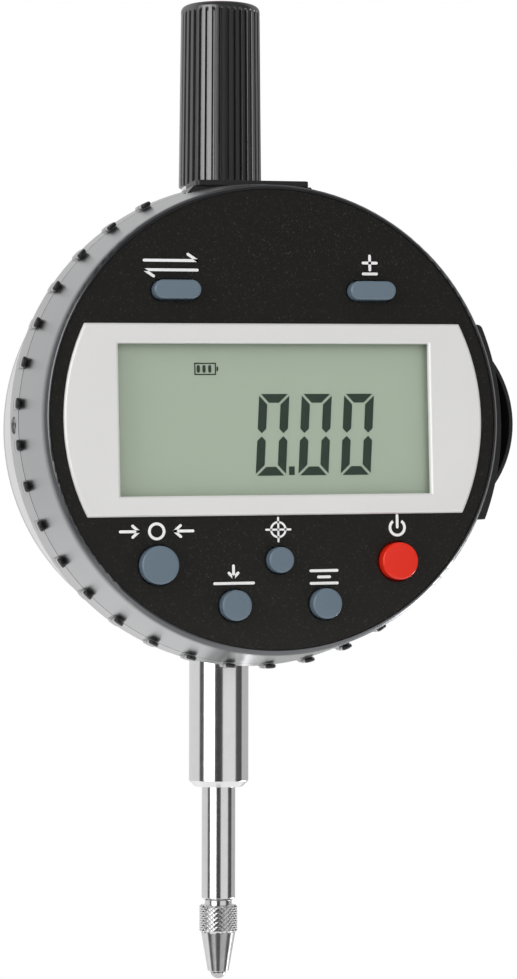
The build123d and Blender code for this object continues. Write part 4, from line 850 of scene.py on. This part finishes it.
world = bpy.data.worlds.new("studio")
bpy.context.scene.world = world
world.use_nodes = True
world.node_tree.nodes.clear()
way = Wire(world.node_tree).node("ShaderNodeTexCoord", output="Generated")
east = way.node("ShaderNodeSeparateXYZ", {}, {0: way})
north, upward = east.other(1), east.other(2)
azimuth = east.maths("ARCTAN2", east, -1.0 * north) * (180 / pi) - camera_side
azimuth = azimuth.maths("WRAP", azimuth, 180.0, -180.0)
elevation = upward.maths("ARCSINE", upward) * (180 / pi)


def window(value, first, last, soft=4.0):
    """1 between two angles, with soft edges."""
    return rise(value, first - soft, first + soft) * (1 - rise(value, last - soft, last + soft))


surround = 0.74 - 0.24 * rise(azimuth, 60.0, 120.0)
surround = surround + 0.22 * (1 - rise(elevation, -28.0, -8.0))
surround = surround * (1 - 0.50 * rise(elevation, 34.0, 60.0))
card_black = 0.88           # share of the light that the two dark side cards take away
surround = surround * (1 - card_black * window(azimuth, -79.0, -59.0, 3.0))
surround = surround * (1 - card_black * window(azimuth, 70.0, 102.0, 4.0))
surround = surround + 8.0 * window(azimuth, 104.0, 146.0) * window(elevation, -52.0, -20.0)
front = window(azimuth, -60.0, 71.0, 2.0)
softbox = 2.5 * window(azimuth, -58.0, -16.0, 2.0) * window(elevation, -12.0, 34.0, 4.0)
fill = 0.08 * window(azimuth, 12.0, 70.0, 4.0)
low = 1 - rise(elevation, -18.0, -12.0)
fill = fill + low * (0.35 * window(azimuth, -52.0, -20.0) + 0.32 * window(azimuth, 18.0, 64.0))
below = 0.35 * (1 - rise(elevation, -60.0, -44.0))
studio = surround * (1 - front) + front * (0.06 + softbox + fill + below)
rays = way.node("ShaderNodeLightPath", output="Is Camera Ray")
seen_white = rays.maths("MAXIMUM", rays, rays.other("Is Transmission Ray"))
white = way.node("ShaderNodeBackground", {}, {"Color": grey(1.0), "Strength": 1.0})
soft_light = way.node("ShaderNodeBackground", {}, {"Color": grey(1.0), "Strength": 0.68})
cards = way.node("ShaderNodeBackground", {}, {"Color": grey(1.0), "Strength": studio})
lit = way.node("ShaderNodeMixShader", {}, {0: rays.other("Is Glossy Ray"), 1: soft_light, 2: cards})
background = way.node("ShaderNodeMixShader", {}, {0: seen_white, 1: lit, 2: white})
way.node("ShaderNodeOutputWorld", {}, {"Surface": background}, None)


def lamp(name, place, aim, width, height, power, mirrored=False):
    """A soft rectangular lamp; a mirrored one is a card that shows only in polished metal."""
    data = bpy.data.lights.new(name, "AREA")
    data.shape = "RECTANGLE"
    data.size = width
    data.size_y = height
    data.energy = power
    light = bpy.data.objects.new(name, data)
    light.location = place
    light.rotation_euler = (Vector(aim) - Vector(place)).to_track_quat("-Z", "Y").to_euler()
    light.visible_camera = False
    light.visible_glossy = mirrored
    light.visible_diffuse = not mirrored
    bpy.context.scene.collection.objects.link(light)


lamp("key_lamp", (-0.72, -0.25, 0.28), swivel, 0.4, 0.4, 2.6)
lamp("fill_lamp", (0.10, -0.75, 0.2), swivel, 0.5, 0.5, 1.3)
lamp("stem_card", (0.0399, -0.0807, -0.022), (0, 0, -0.022), 0.088, 0.056, 0.0100, True)

eye = bpy.data.cameras.new("camera")
eye.lens = focal_length
eye.sensor_width = 36.0
camera = bpy.data.objects.new("camera", eye)
camera.matrix_world = (Matrix.Translation(camera_place)
                       @ Matrix.Rotation(-radians(camera_yaw), 4, "Z")
                       @ Matrix.Rotation(radians(90 + camera_pitch), 4, "X")
                       @ Matrix.Rotation(radians(camera_roll), 4, "Z"))
bpy.context.scene.collection.objects.link(camera)
bpy.context.scene.camera = camera
bpy.context.scene.view_settings.view_transform = "Standard"
